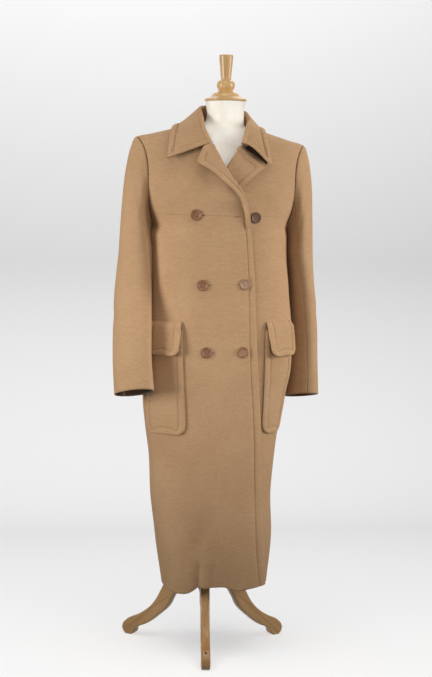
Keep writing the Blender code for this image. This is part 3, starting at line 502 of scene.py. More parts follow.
def twill(name):
    """Brown twill lining: a fine diagonal rib with a low shine."""
    made, tree, shader = material(name)
    place = add(tree, "ShaderNodeTexCoord").outputs["Object"]
    rib = add(tree, "ShaderNodeTexWave", {"Vector": place, "Scale": 180.0}, bands_direction="DIAGONAL")
    feed(tree, shader, {"Base Color": tones(tree, rib.outputs["Fac"], LINING_SHADE, LINING), "Roughness": 0.55})
    return made


def grid_normals(grid):
    """Normals of a grid of points, from its rows and columns."""
    return unit(np.cross(np.gradient(grid, axis=1), np.gradient(grid, axis=0)))


def shell(name, top, under, materials):
    """A closed sheet between two grids a cloth's thickness apart, with a rounded rim.

    The inside takes the last material.
    """
    rows, columns = top.shape[:2]
    count = rows * columns
    index = np.arange(count).reshape(rows, columns)
    quads = np.stack([index[:-1, :-1], index[:-1, 1:], index[1:, 1:], index[1:, :-1]], axis=-1).reshape(-1, 4)
    rim = np.concatenate([index[0, :], index[1:, -1], index[-1, -2::-1], index[-2:0:-1, 0]])
    inner = np.concatenate([index[1, :], index[1:, -2], index[-2, -2::-1], index[-2:0:-1, 1]])
    flat_top, flat_under = top.reshape(-1, 3), under.reshape(-1, 3)
    thick = np.linalg.norm(flat_top[rim] - flat_under[rim], axis=-1, keepdims=True)
    outward = unit(flat_top[rim] - flat_top[inner])
    middle = (flat_top[rim] + flat_under[rim]) / 2 + outward * np.minimum(thick * 0.2, SEAM / 2.5)
    mid = 2 * count + np.arange(len(rim))
    ring = np.roll(rim, -1)
    upper = np.stack([ring, rim, mid, np.roll(mid, -1)], axis=-1)
    lower = np.stack([np.roll(mid, -1), mid, rim + count, ring + count], axis=-1)
    faces = np.concatenate([quads, quads[:, ::-1] + count, upper, lower])
    slots = np.zeros(len(faces), int)
    slots[len(quads):2 * len(quads)] = len(materials) - 1
    points = np.concatenate([flat_top, flat_under, middle])
    corners = points[quads]
    facing = np.cross(corners[:, 2] - corners[:, 0], corners[:, 3] - corners[:, 1])
    if np.sum(facing * (flat_top - flat_under)[quads[:, 0]]) < 0:
        faces = faces[:, ::-1]
    return piece(name, points, faces, materials, slots)


def from_side(grid, side):
    """Distance of every grid point from one side of the grid, measured along its rows or columns."""
    axis = 0 if side.endswith("row") else 1
    steps = np.linalg.norm(np.diff(grid, axis=axis), axis=-1)
    length = np.cumsum(np.concatenate([0 * np.take(steps, [0], axis=axis), steps], axis=axis), axis=axis)
    return length if side.startswith("first") else np.take(length, [-1], axis=axis) - length


def welt(distance, inset):
    """The relief of a stitched edge: a padded strip up to the stitch line, and a soft trough along it."""
    pad, trough, trough_width = 1.9, 1.5, 2.6
    strip = pad * np.sin(math.pi * np.clip(distance / inset, 0, 1) * 0.8 + 0.5)
    strip = np.where(distance < inset, strip, 0)
    return strip - trough * np.exp(-(((distance - inset) / trough_width) ** 2))


def stitch_line(grid, side, others, inset):
    """The points of a grid that lie inset from one side, where they are no nearer to the other sides.

    The inset is one number, or one for each row.
    """
    if side.endswith("row"):
        swap = {"first_row": "first_column", "last_row": "last_column"}
        back = {"first_column": "first_row", "last_column": "last_row"}
        names = [{**swap, **back}[other] for other in others]
        return stitch_line(np.swapaxes(grid, 0, 1), swap[side], names, inset)
    away, insets = from_side(grid, side), np.broadcast_to(inset, len(grid))
    rest = [from_side(grid, other) for other in others]
    order = slice(None) if side.startswith("first") else slice(None, None, -1)
    found = []
    for row in range(len(grid)):
        near, inset = away[row][order], insets[row]
        if near[-1] < inset:
            continue
        if all(np.interp(inset, near, other[row][order]) >= inset * 0.98 for other in rest):
            found.append([np.interp(inset, near, grid[row][order, axis]) for axis in range(3)])
    return np.array(found)


STITCH_PITCH, STITCH_LENGTH, STITCH_WIDTH, STITCH_RAISE = 4.0, 3.0, 0.6, 0.35


def stitches(name, lines, material):
    """Topstitching: short spindles of thread laid end to end along lines on the cloth, each of six points."""
    points, faces = [], []
    for line, normal in lines:
        length = np.concatenate([[0], np.cumsum(np.linalg.norm(np.diff(line, axis=0), axis=-1))])
        middle = np.arange(STITCH_PITCH, length[-1] - STITCH_PITCH / 2, STITCH_PITCH)
        if not len(middle):
            continue
        at = [
            np.stack([np.interp(middle + shift, length, line[:, axis]) for axis in range(3)], axis=-1)
            for shift in (-STITCH_LENGTH / 2, 0, STITCH_LENGTH / 2)
        ]
        out = unit(np.stack([np.interp(middle, length, normal[:, axis]) for axis in range(3)], axis=-1))
        side = unit(np.cross(at[2] - at[0], out)) * STITCH_WIDTH / 2
        up = out * STITCH_WIDTH / 2
        ring = np.stack([at[0], at[1] + side, at[1] + up, at[1] - side, at[1] - up, at[2]], axis=1)
        base = 6 * np.arange(len(middle))[:, None, None] + 6 * sum(len(p) for p in points)
        fan = np.array([(0, 1, 2), (0, 2, 3), (0, 3, 4), (0, 4, 1), (5, 2, 1), (5, 3, 2), (5, 4, 3), (5, 1, 4)])
        points.append(ring)
        faces.append((base + fan[None]).reshape(-1, 3))
    ring = np.concatenate(points).reshape(-1, 3)
    return piece(name, ring, np.concatenate(faces)[:, ::-1], [material])


def shares(length, count, near_first, near_last):
    """Shares from 0 to 1: even steps, and finer ones near the ends that carry a stitched edge."""
    finer = (0, 0.8, 2, 4, 7, 10, 12, 13.4, 14.6, 15.6, 16.4, 17.2, 18, 18.8, 19.8, 21, 23, 26, 30)
    fine = np.array(finer) / length
    parts = [np.linspace(0, 1, count)]
    if near_first:
        parts.append(fine)
    if near_last:
        parts.append(1 - fine)
    joined = np.unique(np.round(np.concatenate(parts), 5))
    keep = np.concatenate([[True], np.diff(joined) > 0.3 / length])
    keep[-1] = True
    return joined[(joined >= 0) & (joined <= 1) & keep]


camel = wool("camel_wool", *WOOL)
lining = twill("brown_lining")
thread = wool("camel_thread", *THREAD)


def front_grid(side, edge, lift, heights, stitched):
    """A front or yoke as a grid: from its free edge across to the side seam, armhole or shoulder."""
    heights = np.asarray(heights, float)
    inner = turn_at(table(edge, 1, heights), heights)
    outer = side * panel_end(heights, False)
    share = shares(330.0, 70, stitched, False)
    turn = inner[:, None] + (outer - inner)[:, None] * share
    height = np.repeat(heights[:, None], len(share), axis=1)
    out = lift(turn, height)
    if stitched:
        plain = on_body(turn, height, out)
        below = 1 - ease(height, *WELT_FADES)
        out = out + welt(from_side(plain, "first_column"), table(FRONT_WELT, 1, height)) * below
    inside = np.minimum(out, lift(turn, height)) - CLOTH
    return hang(on_body(turn, height, out)), hang(on_body(turn, height, inside))


DRAPE_TOP, UNDER_YOKE, OVER_YOKE, OVER_SHOULDER = 420.0, (1090, 1098, 1106), 1118.0, 1303.0
skirt_heights = np.concatenate([np.linspace(HEM, DRAPE_TOP, 60), np.linspace(DRAPE_TOP, UNDERARM, 84)[1:]])
shoulder_heights = np.linspace(OVER_SHOULDER, NECKLINE, 26)
low_heights = np.concatenate([skirt_heights, UNDER_YOKE, YOKE - SEAM / 2 - np.array((SEAM_TURN, 0))])
yoke_heights = np.concatenate([YOKE + SEAM / 2 + np.array((0, SEAM_TURN)), np.linspace(OVER_YOKE, SHOULDER, 40)])
yoke_heights = np.concatenate([yoke_heights, shoulder_heights])
front_right_top, front_right_under = front_grid(-1, RIGHT_EDGE, right_lift, low_heights, True)
front_right = shell("coat_front_right", front_right_top, front_right_under, [camel, lining])
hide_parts("front_right")
edge_rows = low_heights < EDGE_STITCHED_TO
edge_inset = table(FRONT_WELT, 1, low_heights[edge_rows])
edge_line = stitch_line(front_right_top[edge_rows], "first_column", (), edge_inset)
edge_normal = np.repeat(unit(np.array((0.25, -1.0, 0)))[None], len(edge_line), axis=0)
edge_line = edge_line + edge_normal * STITCH_RAISE
front_stitches = stitches("stitching_front_right", [(edge_line, edge_normal)], thread)
yoke_right_top, yoke_right_under = front_grid(-1, RIGHT_EDGE, right_lift, yoke_heights, False)
yoke_right = shell("coat_yoke_right", yoke_right_top, yoke_right_under, [camel, lining])
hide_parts("front_right_yoke")
front_left_top, front_left_under = front_grid(1, LEFT_EDGE, left_lift, low_heights, False)
front_left = shell("coat_front_left", front_left_top, front_left_under, [camel, lining])
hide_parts("front_left")
yoke_left_top, yoke_left_under = front_grid(1, LEFT_EDGE, left_lift, yoke_heights, False)
yoke_left = shell("coat_yoke_left", yoke_left_top, yoke_left_under, [camel, lining])
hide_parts("front_left_yoke")
back_heights = np.concatenate([skirt_heights, np.linspace(UNDERARM, SHOULDER, 48)[1:], shoulder_heights])
back_start, back_share = panel_end(back_heights, True), np.linspace(0, 1, 110)
back_turn = back_start[:, None] + (360 - 2 * back_start)[:, None] * back_share
back_height = np.repeat(back_heights[:, None], len(back_share), axis=1)
back_top = hang(on_body(back_turn, back_height, 0 * back_turn))
back_under = hang(on_body(back_turn, back_height, 0 * back_turn - CLOTH))
back = shell("coat_back", back_top, back_under, [camel, lining])
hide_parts("back")

# Sleeves: a top and an under sleeve each, sewn along two seams and eased into the armhole with a full head.
# Oval sections along the arm's line, with a break at the elbow and drag creases under the head.
RIGHT_SLEEVE = (
    # step, out, y, height, half depth, half width, turn in, lift of the front
    (0, 213.5, -8, 1020, 68, 38.5, 6, 0), (1, 219.5, -28, 940, 66, 38.5, 18, 4), (2, 224, -66, 860, 63, 34, 31, 8),
    (3, 226.5, -95, 765, 61, 33, 34, 12), (4, 222, -116, 674, 58, 37, 36, 16),
)
LEFT_SLEEVE = (
    (0, 209, 14, 1020, 70, 33, 0, 0), (1, 216, 18, 940, 69, 31, -4, 2), (2, 222, 20, 850, 68, 31, -9, 4),
    (3, 222, 18, 750, 65, 31, -15, 7), (4, 222, 14, 652, 59, 35, -20, 11),
)
SLEEVE_GAP, UNDERARM_STAND, SLEEVE_SEAM, SLEEVE_SEAM_HALF = 0.55, 2.6, 112.5, 0.4
RIGHT_CREASES = (
    # from angle, along, to angle, along, width, depth
    (95, 1.42, 20, 1.52, 16, 2.6), (110, 1.30, 50, 1.36, 16, 1.6), (60, 1.62, 0, 1.58, 18, -1.4),
    (100, 0.55, 40, 0.30, 18, 2.0), (70, 0.80, 30, 0.50, 20, 1.5), (-60, 0.6, -30, 0.3, 18, 1.6),
    (-100, 1.45, -40, 1.5, 18, 1.8), (180, 1.4, 150, 1.5, 16, 1.6),
)
LEFT_CREASES = (
    (95, 0.55, 40, 0.30, 18, 2.0), (80, 0.95, 40, 0.60, 20, 1.6), (90, 1.40, 30, 1.48, 18, 1.8),
    (40, 1.0, 10, 1.5, 22, 1.4), (-60, 0.6, -30, 0.3, 18, 1.6), (-100, 1.45, -40, 1.5, 18, 1.8),
)
ANGLE_MM, ALONG_MM = 0.9, 330.0
HEAD_LEAVES, HEAD_FULLNESS, HEAD_ARRIVES, HEAD_DROP = (0.62, 0, -0.75), 0.55, (0.06, 0, -1.0), 0.8
HEAD_MM, ROPE, ROPE_AT, ROPE_WIDTH, SEATED_ROWS, SEATED_BELOW = 180.0, 1.2, 9.0, 9.0, 6, 0.4


def armhole(angle):
    """The left armhole's outline by angle, 0 at the shoulder and 90 at the front, and the body's normal there."""
    angle = np.asarray(angle, float) % 360
    height = 0.5 * (UNDERARM + SHOULDER) + 0.5 * (SHOULDER - UNDERARM) * np.cos(np.radians(angle))
    turn = np.where(angle <= 180, armhole_turn(height, False), armhole_turn(height, True))
    return body_point(turn, height), body_normal(turn, height)


def sleeve_sheet(rows, angle, along):
    """The left sleeve's outer surface: a cubic from the armhole to the first oval, then ovals down to the cuff."""
    angle, along = np.broadcast_arrays(np.asarray(angle, float), np.asarray(along, float))
    step = np.clip(along - 1, 0, 1) * rows[-1][0]
    out, y, height, depth, width, toe, tip = (table(rows, column, step) for column in range(1, 8))
    toe, tip = np.radians(toe), np.radians(tip)
    sine, cosine = np.sin(np.radians(angle)), np.cos(np.radians(angle))
    forward, sideways = depth * sine, width * cosine
    ring = np.stack(
        [
            out + sideways * np.cos(toe) - forward * np.sin(toe),
            y - forward * np.cos(toe) * np.cos(tip) - sideways * np.sin(toe),
            height + (forward * np.cos(toe) + sideways * np.sin(toe)) * np.tan(tip),
        ],
        axis=-1,
    )
    start, normal = armhole(angle)
    into = unit(np.cross(normal, armhole(angle + 0.5)[0] - armhole(angle - 0.5)[0]))
    low = ease(-cosine, 0.1, 0.8)[..., None]
    start = start + into * SLEEVE_GAP + normal * UNDERARM_STAND * low
    reach = np.linalg.norm(ring - start, axis=-1, keepdims=True)
    t = np.clip(along, 0, 1)[..., None]
    head = start * (1 + 2 * t) * (1 - t) ** 2 + ring * t * t * (3 - 2 * t)
    head = head + unit(np.array(HEAD_LEAVES)) * reach * HEAD_FULLNESS * t * (1 - t) ** 2
    head = head + np.array(HEAD_ARRIVES) * reach * HEAD_DROP * t * t * (t - 1)
    return np.where(along[..., None] <= 1, head, ring)


def sleeve_half(name, node, rows, side, first, last, count, creases):
    """The top or under sleeve between its two seams: the sleeve's sheet, pressed in along its creases.

    A low rope runs round the head, and the rows beside the armhole are kept clear of the body.
    """
    angle = np.linspace(first + SLEEVE_SEAM_HALF, last - SLEEVE_SEAM_HALF, count)
    along = np.concatenate([np.linspace(0, 1, 40)[:-1], np.linspace(1, 2, 76)])
    angle, along = np.meshgrid(angle, along)
    sheet = sleeve_sheet(rows, angle, along)
    across = sleeve_sheet(rows, angle + 0.5, along) - sleeve_sheet(rows, angle - 0.5, along)
    low, high = np.clip(along - 0.01, 0, 2), np.clip(along + 0.01, 0, 2)
    outside = unit(np.cross(across, sleeve_sheet(rows, angle, high) - sleeve_sheet(rows, angle, low)))
    press = np.zeros(angle.shape)
    for angle_a, along_a, angle_b, along_b, width, dent in creases:
        run_angle, run_along = turn_from(angle_b, angle_a) * ANGLE_MM, (along_b - along_a) * ALONG_MM
        off_angle, off_along = turn_from(angle, angle_a) * ANGLE_MM, (along - along_a) * ALONG_MM
        share = np.clip((off_angle * run_angle + off_along * run_along) / (run_angle**2 + run_along**2), 0, 1)
        away = np.hypot(off_angle - share * run_angle, off_along - share * run_along)
        press += dent * np.exp(-((away / width) ** 2)) * ease(along, 0.02, 0.2)
    rope = ROPE * np.exp(-(((along * HEAD_MM - ROPE_AT) / ROPE_WIDTH) ** 2))
    rope = rope * ease(np.cos(np.radians(angle)), -0.2, 0.5)
    top = sheet + outside * (CLOTH + rope * ease(along, 0, 0.03) - press)[..., None]
    under = sheet - outside * press[..., None]
    base, outward = armhole(angle[0])
    into = unit(np.cross(outward, armhole(angle[0] + 0.5)[0] - armhole(angle[0] - 0.5)[0]))
    for row in range(SEATED_ROWS):
        short = SLEEVE_GAP - np.sum((top[row] - base) * into, axis=-1)
        proud = np.sum((top[row] - base) * outward, axis=-1)
        top[row] += into * np.where(proud < SEATED_BELOW, np.maximum(short, 0), 0)[:, None]
    flip = np.array((side, 1, 1))
    made = shell(name, hang(top * flip), hang(under * flip), [camel, lining])
    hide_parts(node)
    return made


for word, rows, side, creases in (("right", RIGHT_SLEEVE, -1, RIGHT_CREASES), ("left", LEFT_SLEEVE, 1, LEFT_CREASES)):
    top = sleeve_half(
        f"coat_sleeve_{word}_top", f"sleeve_{word}_top", rows, side, -SLEEVE_SEAM, SLEEVE_SEAM, 70, creases
    )
    under = sleeve_half(
        f"coat_sleeve_{word}_under", f"sleeve_{word}_under", rows, side, SLEEVE_SEAM, 360 - SLEEVE_SEAM, 44, creases
    )

# Lapels: the fronts' own cloth turned back along the roll line and laid over the chest, stitched round the edge.
# A small half round at the roll, then a run out to the edge; the top edge rises to the notch.
RIGHT_LAPEL = (
    # roll height, outer x, outer height, lift
    (1084, 49, 1084, 5.2), (1108, 45.5, 1109, 10), (1126, 41, 1128, 14), (1153, 31, 1156, 18), (1177, 14, 1176, 21),
    (1205, -11, 1196, 24), (1235, -34, 1214, 27), (1262, -55, 1226, 29), (1285, -70, 1234, 30),
)
LEFT_LAPEL = ((1205, 30, 1172, 5.5), (1235, 54, 1198, 8), (1262, 79, 1219, 11), (1286, 99, 1235, 14))
# radius of the roll at the lower and upper end; share of the top edge at which it peaks, and its rise
RIGHT_ROLL, RIGHT_NOTCH, LEFT_ROLL, LEFT_NOTCH = (0.3, 3.6), (0.5, 13), (1.6, 2.6), (0.4, -9)
LAPEL_WELT, LAPEL_END, LAPEL_TAPER, LAPEL_GAP, ROLL_STEPS = 15.0, 0.25, 30.0, 1.0, 13
WELT_WIDTHS, LAPEL_FACES = (18, 34), (0.1, -0.9, 0.45)


def lapel(name, node, side, edge, lift, rows, fold, notch):
    """Carries a fold and a flat run along the roll line; notch is the share of the top edge and its rise."""
    roll = rows[0][0] + (rows[-1][0] - rows[0][0]) * shares(150.0, 40, False, True)
    turn = turn_at(table(edge, 1, roll), roll)
    normal = body_normal(turn, roll)
    base = on_body(turn, roll, lift(turn, roll))
    inward = np.cross(normal, np.gradient(base, axis=0))
    inward = unit(inward * np.sign(-side * inward[:, :1]))
    base = base + inward * LAPEL_GAP
    height_share = (roll - roll[0]) / (roll[-1] - roll[0])
    radius = (fold[0] + (fold[1] - fold[0]) * height_share)[:, None]
    bends = [
        base + radius * (math.sin(angle) * inward + (1 - math.cos(angle)) * normal)
        for angle in np.linspace(0, math.pi, ROLL_STEPS)
    ]
    outer_x, outer_z, outer_lift = (table(rows, column, roll) for column in (1, 2, 3))
    end = on_body(turn_at(outer_x, outer_z), outer_z, outer_lift)
    start = bends[-1]
    reach = np.linalg.norm(end - start, axis=-1, keepdims=True)
    leave, arrive = -inward * reach * 0.9, unit(end - start) * reach * 0.9
    near_top = ease(height_share, 0.72, 1)
    for t in shares(90.0, 26, False, True)[1:]:
        point = start * (1 + 2 * t) * (1 - t) ** 2 + end * t * t * (3 - 2 * t)
        point = point + leave * t * (1 - t) ** 2 + arrive * t * t * (t - 1)
        point[:, 2] += near_top * notch[1] * min(t / notch[0], (1 - t) / (1 - notch[0]))
        bends.append(point)
    under = np.stack(bends, axis=1)
    facing = grid_normals(under)
    facing = facing * -np.sign(np.sum(facing[:, 0] * normal, axis=-1).mean())
    thin = LAPEL_END + (1 - LAPEL_END) * ease(roll - roll[0], 0, LAPEL_TAPER)
    flat = under + CLOTH * thin[:, None, None] * facing
    distance = np.minimum(from_side(flat, "last_column"), from_side(flat, "last_row"))
    wide = ease(from_side(flat, "last_column").max(axis=1), *WELT_WIDTHS)[:, None]
    top = flat + facing * (welt(distance, LAPEL_WELT) * wide)[..., None]
    made = shell(name, hang(top), hang(under), [camel])
    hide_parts(node)
    lines = [
        stitch_line(top, "last_column", ("last_row",), LAPEL_WELT),
        stitch_line(top[:, ROLL_STEPS:], "last_row", ("last_column",), LAPEL_WELT),
    ]
    front = unit(np.array(LAPEL_FACES))
    lines = [(hang(line) + front * STITCH_RAISE, np.repeat(front[None], len(line), axis=0)) for line in lines]
    return made, stitches("stitching_" + node, lines, thread)


lapel_right, sewn = lapel(
    "coat_lapel_right", "lapel_right", -1, RIGHT_EDGE, right_lift, RIGHT_LAPEL, RIGHT_ROLL, RIGHT_NOTCH
)
lapel_left, sewn = lapel(
    "coat_lapel_left", "lapel_left", 1, LEFT_EDGE, left_lift, LEFT_LAPEL, LEFT_ROLL, LEFT_NOTCH
)

# Collar: one broad piece sewn to the neckline, standing up and folding over, stitched round its outer edge.
# Each cross-section is a stand, a half round at the fold, and a fall that droops to its edge.
# The underside is brown felt made very dark to stand in for the shade under the collar, partly painted shade; a strip
# of it along the seam under the left end is painted shadow.
COLLAR = (
    # place, fold x, fold y, fold z, outer x, outer y, outer z, lean
    (-1.0, -31, -91, 1294.5, -144, -93, 1249, 68), (-0.75, -46, -58, 1334, -129, -44, 1322, 42),
    (-0.5, -47, -16, 1366, -117, 4, 1332.5, 8), (-0.375, -47, 14, 1379, -104, 46, 1333.5, 3),
    (-0.25, -41, 38, 1386, -82, 82, 1311, 0), (0.0, 4, 64, 1390, 0, 93, 1306, 0),
    (0.25, 54, 40, 1381, 84, 80, 1311, 0), (0.375, 66, 18, 1371, 105, 46, 1333, 3),
    (0.5, 68, -8, 1357, 112, 6, 1334, 8), (0.75, 56, -58, 1338, 108, -47, 1326, 42),
    (1.0, 42, -94, 1298, 115, -116, 1243, 68),
)
COLLAR_FOLD, COLLAR_START, NECK_CORNER, COLLAR_GAP, COLLAR_WELT = 3.0, 1294.0, 73.0, 2.6, 15.0
COLLAR_ARCH, ARCH_STARTS, SEAM_RISE = 60.0, 0.88, 45.0
# Very dark felt: the undercollar's own cloth, darkened as painted shade under the collar and in the strip under its
# left end.
FELT_AND_PAINTED_SHADE = "#3A2718", "#301F13", "#22160D"


def neckline(place):
    """The collar's seam: -1 and 1 at the lapels, 0 at the back of the neck, raised a little off the coat."""
    far = np.clip((np.abs(place) - 0.5) / 0.5, 0, 1)
    height = NECKLINE + (COLLAR_START - NECKLINE) * far
    front = np.where(
        place < 0, turn_at(table(RIGHT_EDGE, 1, height), height), turn_at(table(LEFT_EDGE, 1, height), height)
    )
    behind = np.sign(place + 1e-9) * (NECK_CORNER + (180 - NECK_CORNER) * (1 - np.abs(place) / 0.5))
    point = body_point(np.where(np.abs(place) > 0.5, front, behind), height)
    away = unit(np.stack([-point[:, 0], -point[:, 1], np.full(len(place), SEAM_RISE)], axis=-1))
    return point + away * COLLAR_GAP


place = shares(620.0, 120, True, True) * 2 - 1
seam = neckline(place)
fold = np.stack([table(COLLAR, column, place) for column in (1, 2, 3)], axis=-1)
outer = np.stack([table(COLLAR, column, place) for column in (4, 5, 6)], axis=-1)
lean = np.radians(table(COLLAR, 7, place))
up = np.stack([0 * lean, -np.sin(lean), np.cos(lean)], axis=-1)
out = outer - fold
out = unit(out - np.sum(out * up, axis=-1, keepdims=True) * up)
centre = fold + out * (COLLAR_FOLD + CLOTH)
bends = [
    centre + COLLAR_FOLD * (math.sin(angle) * up - math.cos(angle) * out) for angle in np.linspace(0, math.pi, 11)
]
columns = [seam + (bends[0] - seam) * share for share in np.linspace(0, 1, 9)[:-1]] + bends
stand_columns = len(columns)
droop = (0.65 - 0.5 * ease(lean, 0.15, 0.7))[:, None]
reach = np.linalg.norm(outer - bends[-1], axis=-1, keepdims=True)
arch = COLLAR_ARCH * ease(place, ARCH_STARTS, 1)
for t in shares(95.0, 24, False, True)[1:]:
    columns.append(
        arch[:, None] * (0, 0, t * (1 - t) ** 2)
        + bends[-1] * (1 + 2 * t) * (1 - t) ** 2 + outer * t * t * (3 - 2 * t)
        + unit(out - droop * up) * reach * 0.9 * t * (1 - t) ** 2
        + unit(outer - bends[-1]) * reach * 0.9 * t * t * (t - 1)
    )
collar_under = np.stack(columns, axis=1)
facing = grid_normals(collar_under)
facing = facing * np.sign(np.sum(facing[:, -1] * up, axis=-1).mean())
collar_top = collar_under + CLOTH * facing
distance = np.minimum(from_side(collar_top, "first_row"), from_side(collar_top, "last_row"))
distance = np.minimum(distance, from_side(collar_top, "last_column"))
fall = np.concatenate([np.zeros(stand_columns), np.ones(len(columns) - stand_columns)])
collar_top = collar_top + facing * (welt(distance, COLLAR_WELT) * fall)[..., None]
# The collar's underside takes the dark felt, partly painted shade.
felt = wool("brown_undercollar_felt", *FELT_AND_PAINTED_SHADE)
collar = shell("coat_collar", hang(collar_top), hang(collar_under), [camel, felt])
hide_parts("collar")
fall_top, fall_facing = collar_top[:, stand_columns:], facing[:, stand_columns:]
lines = []
for side, others in (
    ("last_column", ("first_row", "last_row")), ("first_row", ("last_column",)), ("last_row", ("last_column",))
):
    line = stitch_line(fall_top, side, others, COLLAR_WELT)
    flat_top, flat_facing = fall_top.reshape(-1, 3), fall_facing.reshape(-1, 3)
    nearest = [int(np.argmin(np.sum((flat_top - point) ** 2, axis=-1))) for point in line]
    lines.append((hang(line + flat_facing[nearest] * STITCH_RAISE), flat_facing[nearest]))
sewn = stitches("stitching_collar", lines, thread)
# A thin strip of the dark felt laid on the yoke under the left collar end: painted shadow of the gap between collar
# and lapel.
GORGE = (
    # share, x, height, stand
    (0, 59, 1289, 5), (0.3, 70, 1280.5, 6), (0.65, 88, 1266, 9), (1, 107, 1250, 11),
)
GORGE_HALF, GORGE_WALL, GORGE_ACROSS = 9.0, 1.0, (0.645, 0.763)
along = np.linspace(0, 1, 30)[:, None]
aside = np.linspace(-GORGE_HALF, GORGE_HALF, 7)
gorge_height = table(GORGE, 2, along) + GORGE_ACROSS[1] * aside
gorge_turn = turn_at(table(GORGE, 1, along) + GORGE_ACROSS[0] * aside, gorge_height)
gorge_stand = table(GORGE, 3, along) + 0 * aside
gorge_top = hang(on_body(gorge_turn, gorge_height, gorge_stand + GORGE_WALL))
gorge_under = hang(on_body(gorge_turn, gorge_height, gorge_stand))
gorge = shell("gorge_painted_shadow", gorge_top, gorge_under, [felt])

# Pockets: a large patch with rounded lower corners on each front, stitched round, with a flap over its mouth.
# Each is a grid on the front's own surface, moved out; the flap flares off the pocket at its lower edge, and its
# inner corner curls up.
POCKET_BOTTOM, POCKET_HIGH, POCKET_CORNER, POCKET_WALL = 570.0, 260.0, 26.0, 3.4
FLAP_BOTTOM, FLAP_HIGH, FLAP_CORNER, FLAP_WALL = 767.0, 84.0, 16.0, 2.8
RIGHT_POCKET_INSIDE = ((560, -92), (700, -99), (860, -106))
LEFT_POCKET_INSIDE = ((560, 98), (700, 102), (860, 106))
RIGHT_FLAP_INSIDE = ((760, -110), (790, -108), (860, -106))
LEFT_FLAP_INSIDE = ((760, 114), (790, 112.5), (860, 106))
POCKET_END, LAYER_GAP, FLAP_SEAT, FLAP_FLARE, FLAP_CURL, FLAP_CLEAR = 78.0, 1.0, 0.75, 5.0, 7.0, 1.2
POCKET_WELT, SEAT_HIGH, CURL_REACH, POCKET_GIRTH, POCKET_RADIUS, POCKET_AXIS = 16.0, 14.0, 0.6, 140.0, 170.0, -22.0
# flat size in metres and cloth in square metres: the pocket's, then the flap's
RIGHT_CUT = ((0.13, 0.26), 0.030, (0.12, 0.085), 0.0092)
LEFT_CUT = ((0.11, 0.26), 0.026, (0.115, 0.085), 0.0088)


def patch(name, node, side, lift, bottom, high, inside, corner, out, wall, flare, curl, seat):
    """A piece laid on a front: rows of the body's surface moved out, drawn in round its lower corners."""
    heights = bottom + high * shares(high, 60, True, False)
    above = np.clip((heights - heights[0]) / corner, 0, 1)
    inset = np.degrees(corner * (1 - np.sqrt(1 - (1 - above) ** 2)) / POCKET_RADIUS)
    inner = side * turn_at(table(inside, 1, heights), heights) + inset
    share = shares(POCKET_GIRTH, 36, True, True)
    turn = side * (inner[:, None] + (POCKET_END - inset - inner)[:, None] * share)
    height = np.repeat(heights[:, None], len(share), axis=1)
    stand = out + flare * (1 - ease(heights, heights[0], heights[-1]))
    stand = stand + (seat - out) * ease(heights, heights[-1] - SEAT_HIGH, heights[-1])
    loose = (1 - ease(heights, heights[0], heights[-1] - SEAT_HIGH))[:, None] * (1 - ease(share, 0, CURL_REACH))
    raised = lift(turn, height) + stand[:, None] + curl * loose
    plain = on_body(turn, height, raised + wall)
    distance = np.minimum(from_side(plain, "first_row"), from_side(plain, "first_column"))
    distance = np.minimum(distance, from_side(plain, "last_column"))
    top = on_body(turn, height, raised + wall + welt(distance, POCKET_WELT))
    made = shell(name, top, on_body(turn, height, raised), [camel])
    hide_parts(node)
    lines = []
    for edge, others in (
        ("first_column", ("first_row",)),
        ("first_row", ("first_column", "last_column")),
        ("last_column", ("first_row",)),
    ):
        line = stitch_line(top, edge, others, POCKET_WELT)
        facing = unit(line * (1, 1, 0) - (0, POCKET_AXIS, 0))
        lines.append((line + facing * STITCH_RAISE, facing))
    return made, stitches("stitching_" + node, lines, thread)


for word, side, lift, front, pocket_inside, flap_inside, cut in (
    ("right", -1, right_lift, front_right, RIGHT_POCKET_INSIDE, RIGHT_FLAP_INSIDE, RIGHT_CUT),
    ("left", 1, left_lift, front_left, LEFT_POCKET_INSIDE, LEFT_FLAP_INSIDE, LEFT_CUT),
):
    pocket, sewn = patch(
        f"coat_pocket_{word}", f"pocket_{word}", side, lift, POCKET_BOTTOM, POCKET_HIGH, pocket_inside,
        POCKET_CORNER, LAYER_GAP, POCKET_WALL, 0, 0, LAYER_GAP,
    )
    flap, sewn = patch(
        f"coat_flap_{word}", f"flap_{word}", side, lift, FLAP_BOTTOM, FLAP_HIGH, flap_inside,
        FLAP_CORNER, 2 * LAYER_GAP + POCKET_WALL + FLAP_CLEAR, FLAP_WALL, FLAP_FLARE, FLAP_CURL, FLAP_SEAT,
    )

# Buttons: six brown horn-look discs with a raised rim, each seated on its front.
# A turned profile on the cloth's normal; worked buttonholes are narrow ridges beside them, their dark thread standing
# in for the shade in each slit, partly painted shade.
BUTTONS = (
    # name, x, height, on the right front, light, dark
    ("right_top", -72, 1115, True, "#9A6B46", "#7D5233"), ("right_middle", -55, 943, True, "#9A6B46", "#7D5233"),
    ("right_low", -45, 776, True, "#8E6242", "#724B30"), ("left_top", 76, 1112, False, "#6E4B31", "#553722"),
    ("left_middle", 49, 946, True, "#A98467", "#8F6A4E"), ("left_low", 46, 777, True, "#A06D47", "#825435"),
)
BUTTON_PROFILE = (
    (0.1, 2.5), (3.7, 2.3), (7.9, 2.3), (9.7, 2.7), (10.6, 3.7), (11.6, 4.0), (12.5, 3.9), (13.5, 3.2), (14, 2.3),
    (13.7, 1.2), (12.5, 0.5), (7.5, 0.1), (2.8, 0.0), (0.1, 0.0),
)
BUTTON_GAP = 0.5


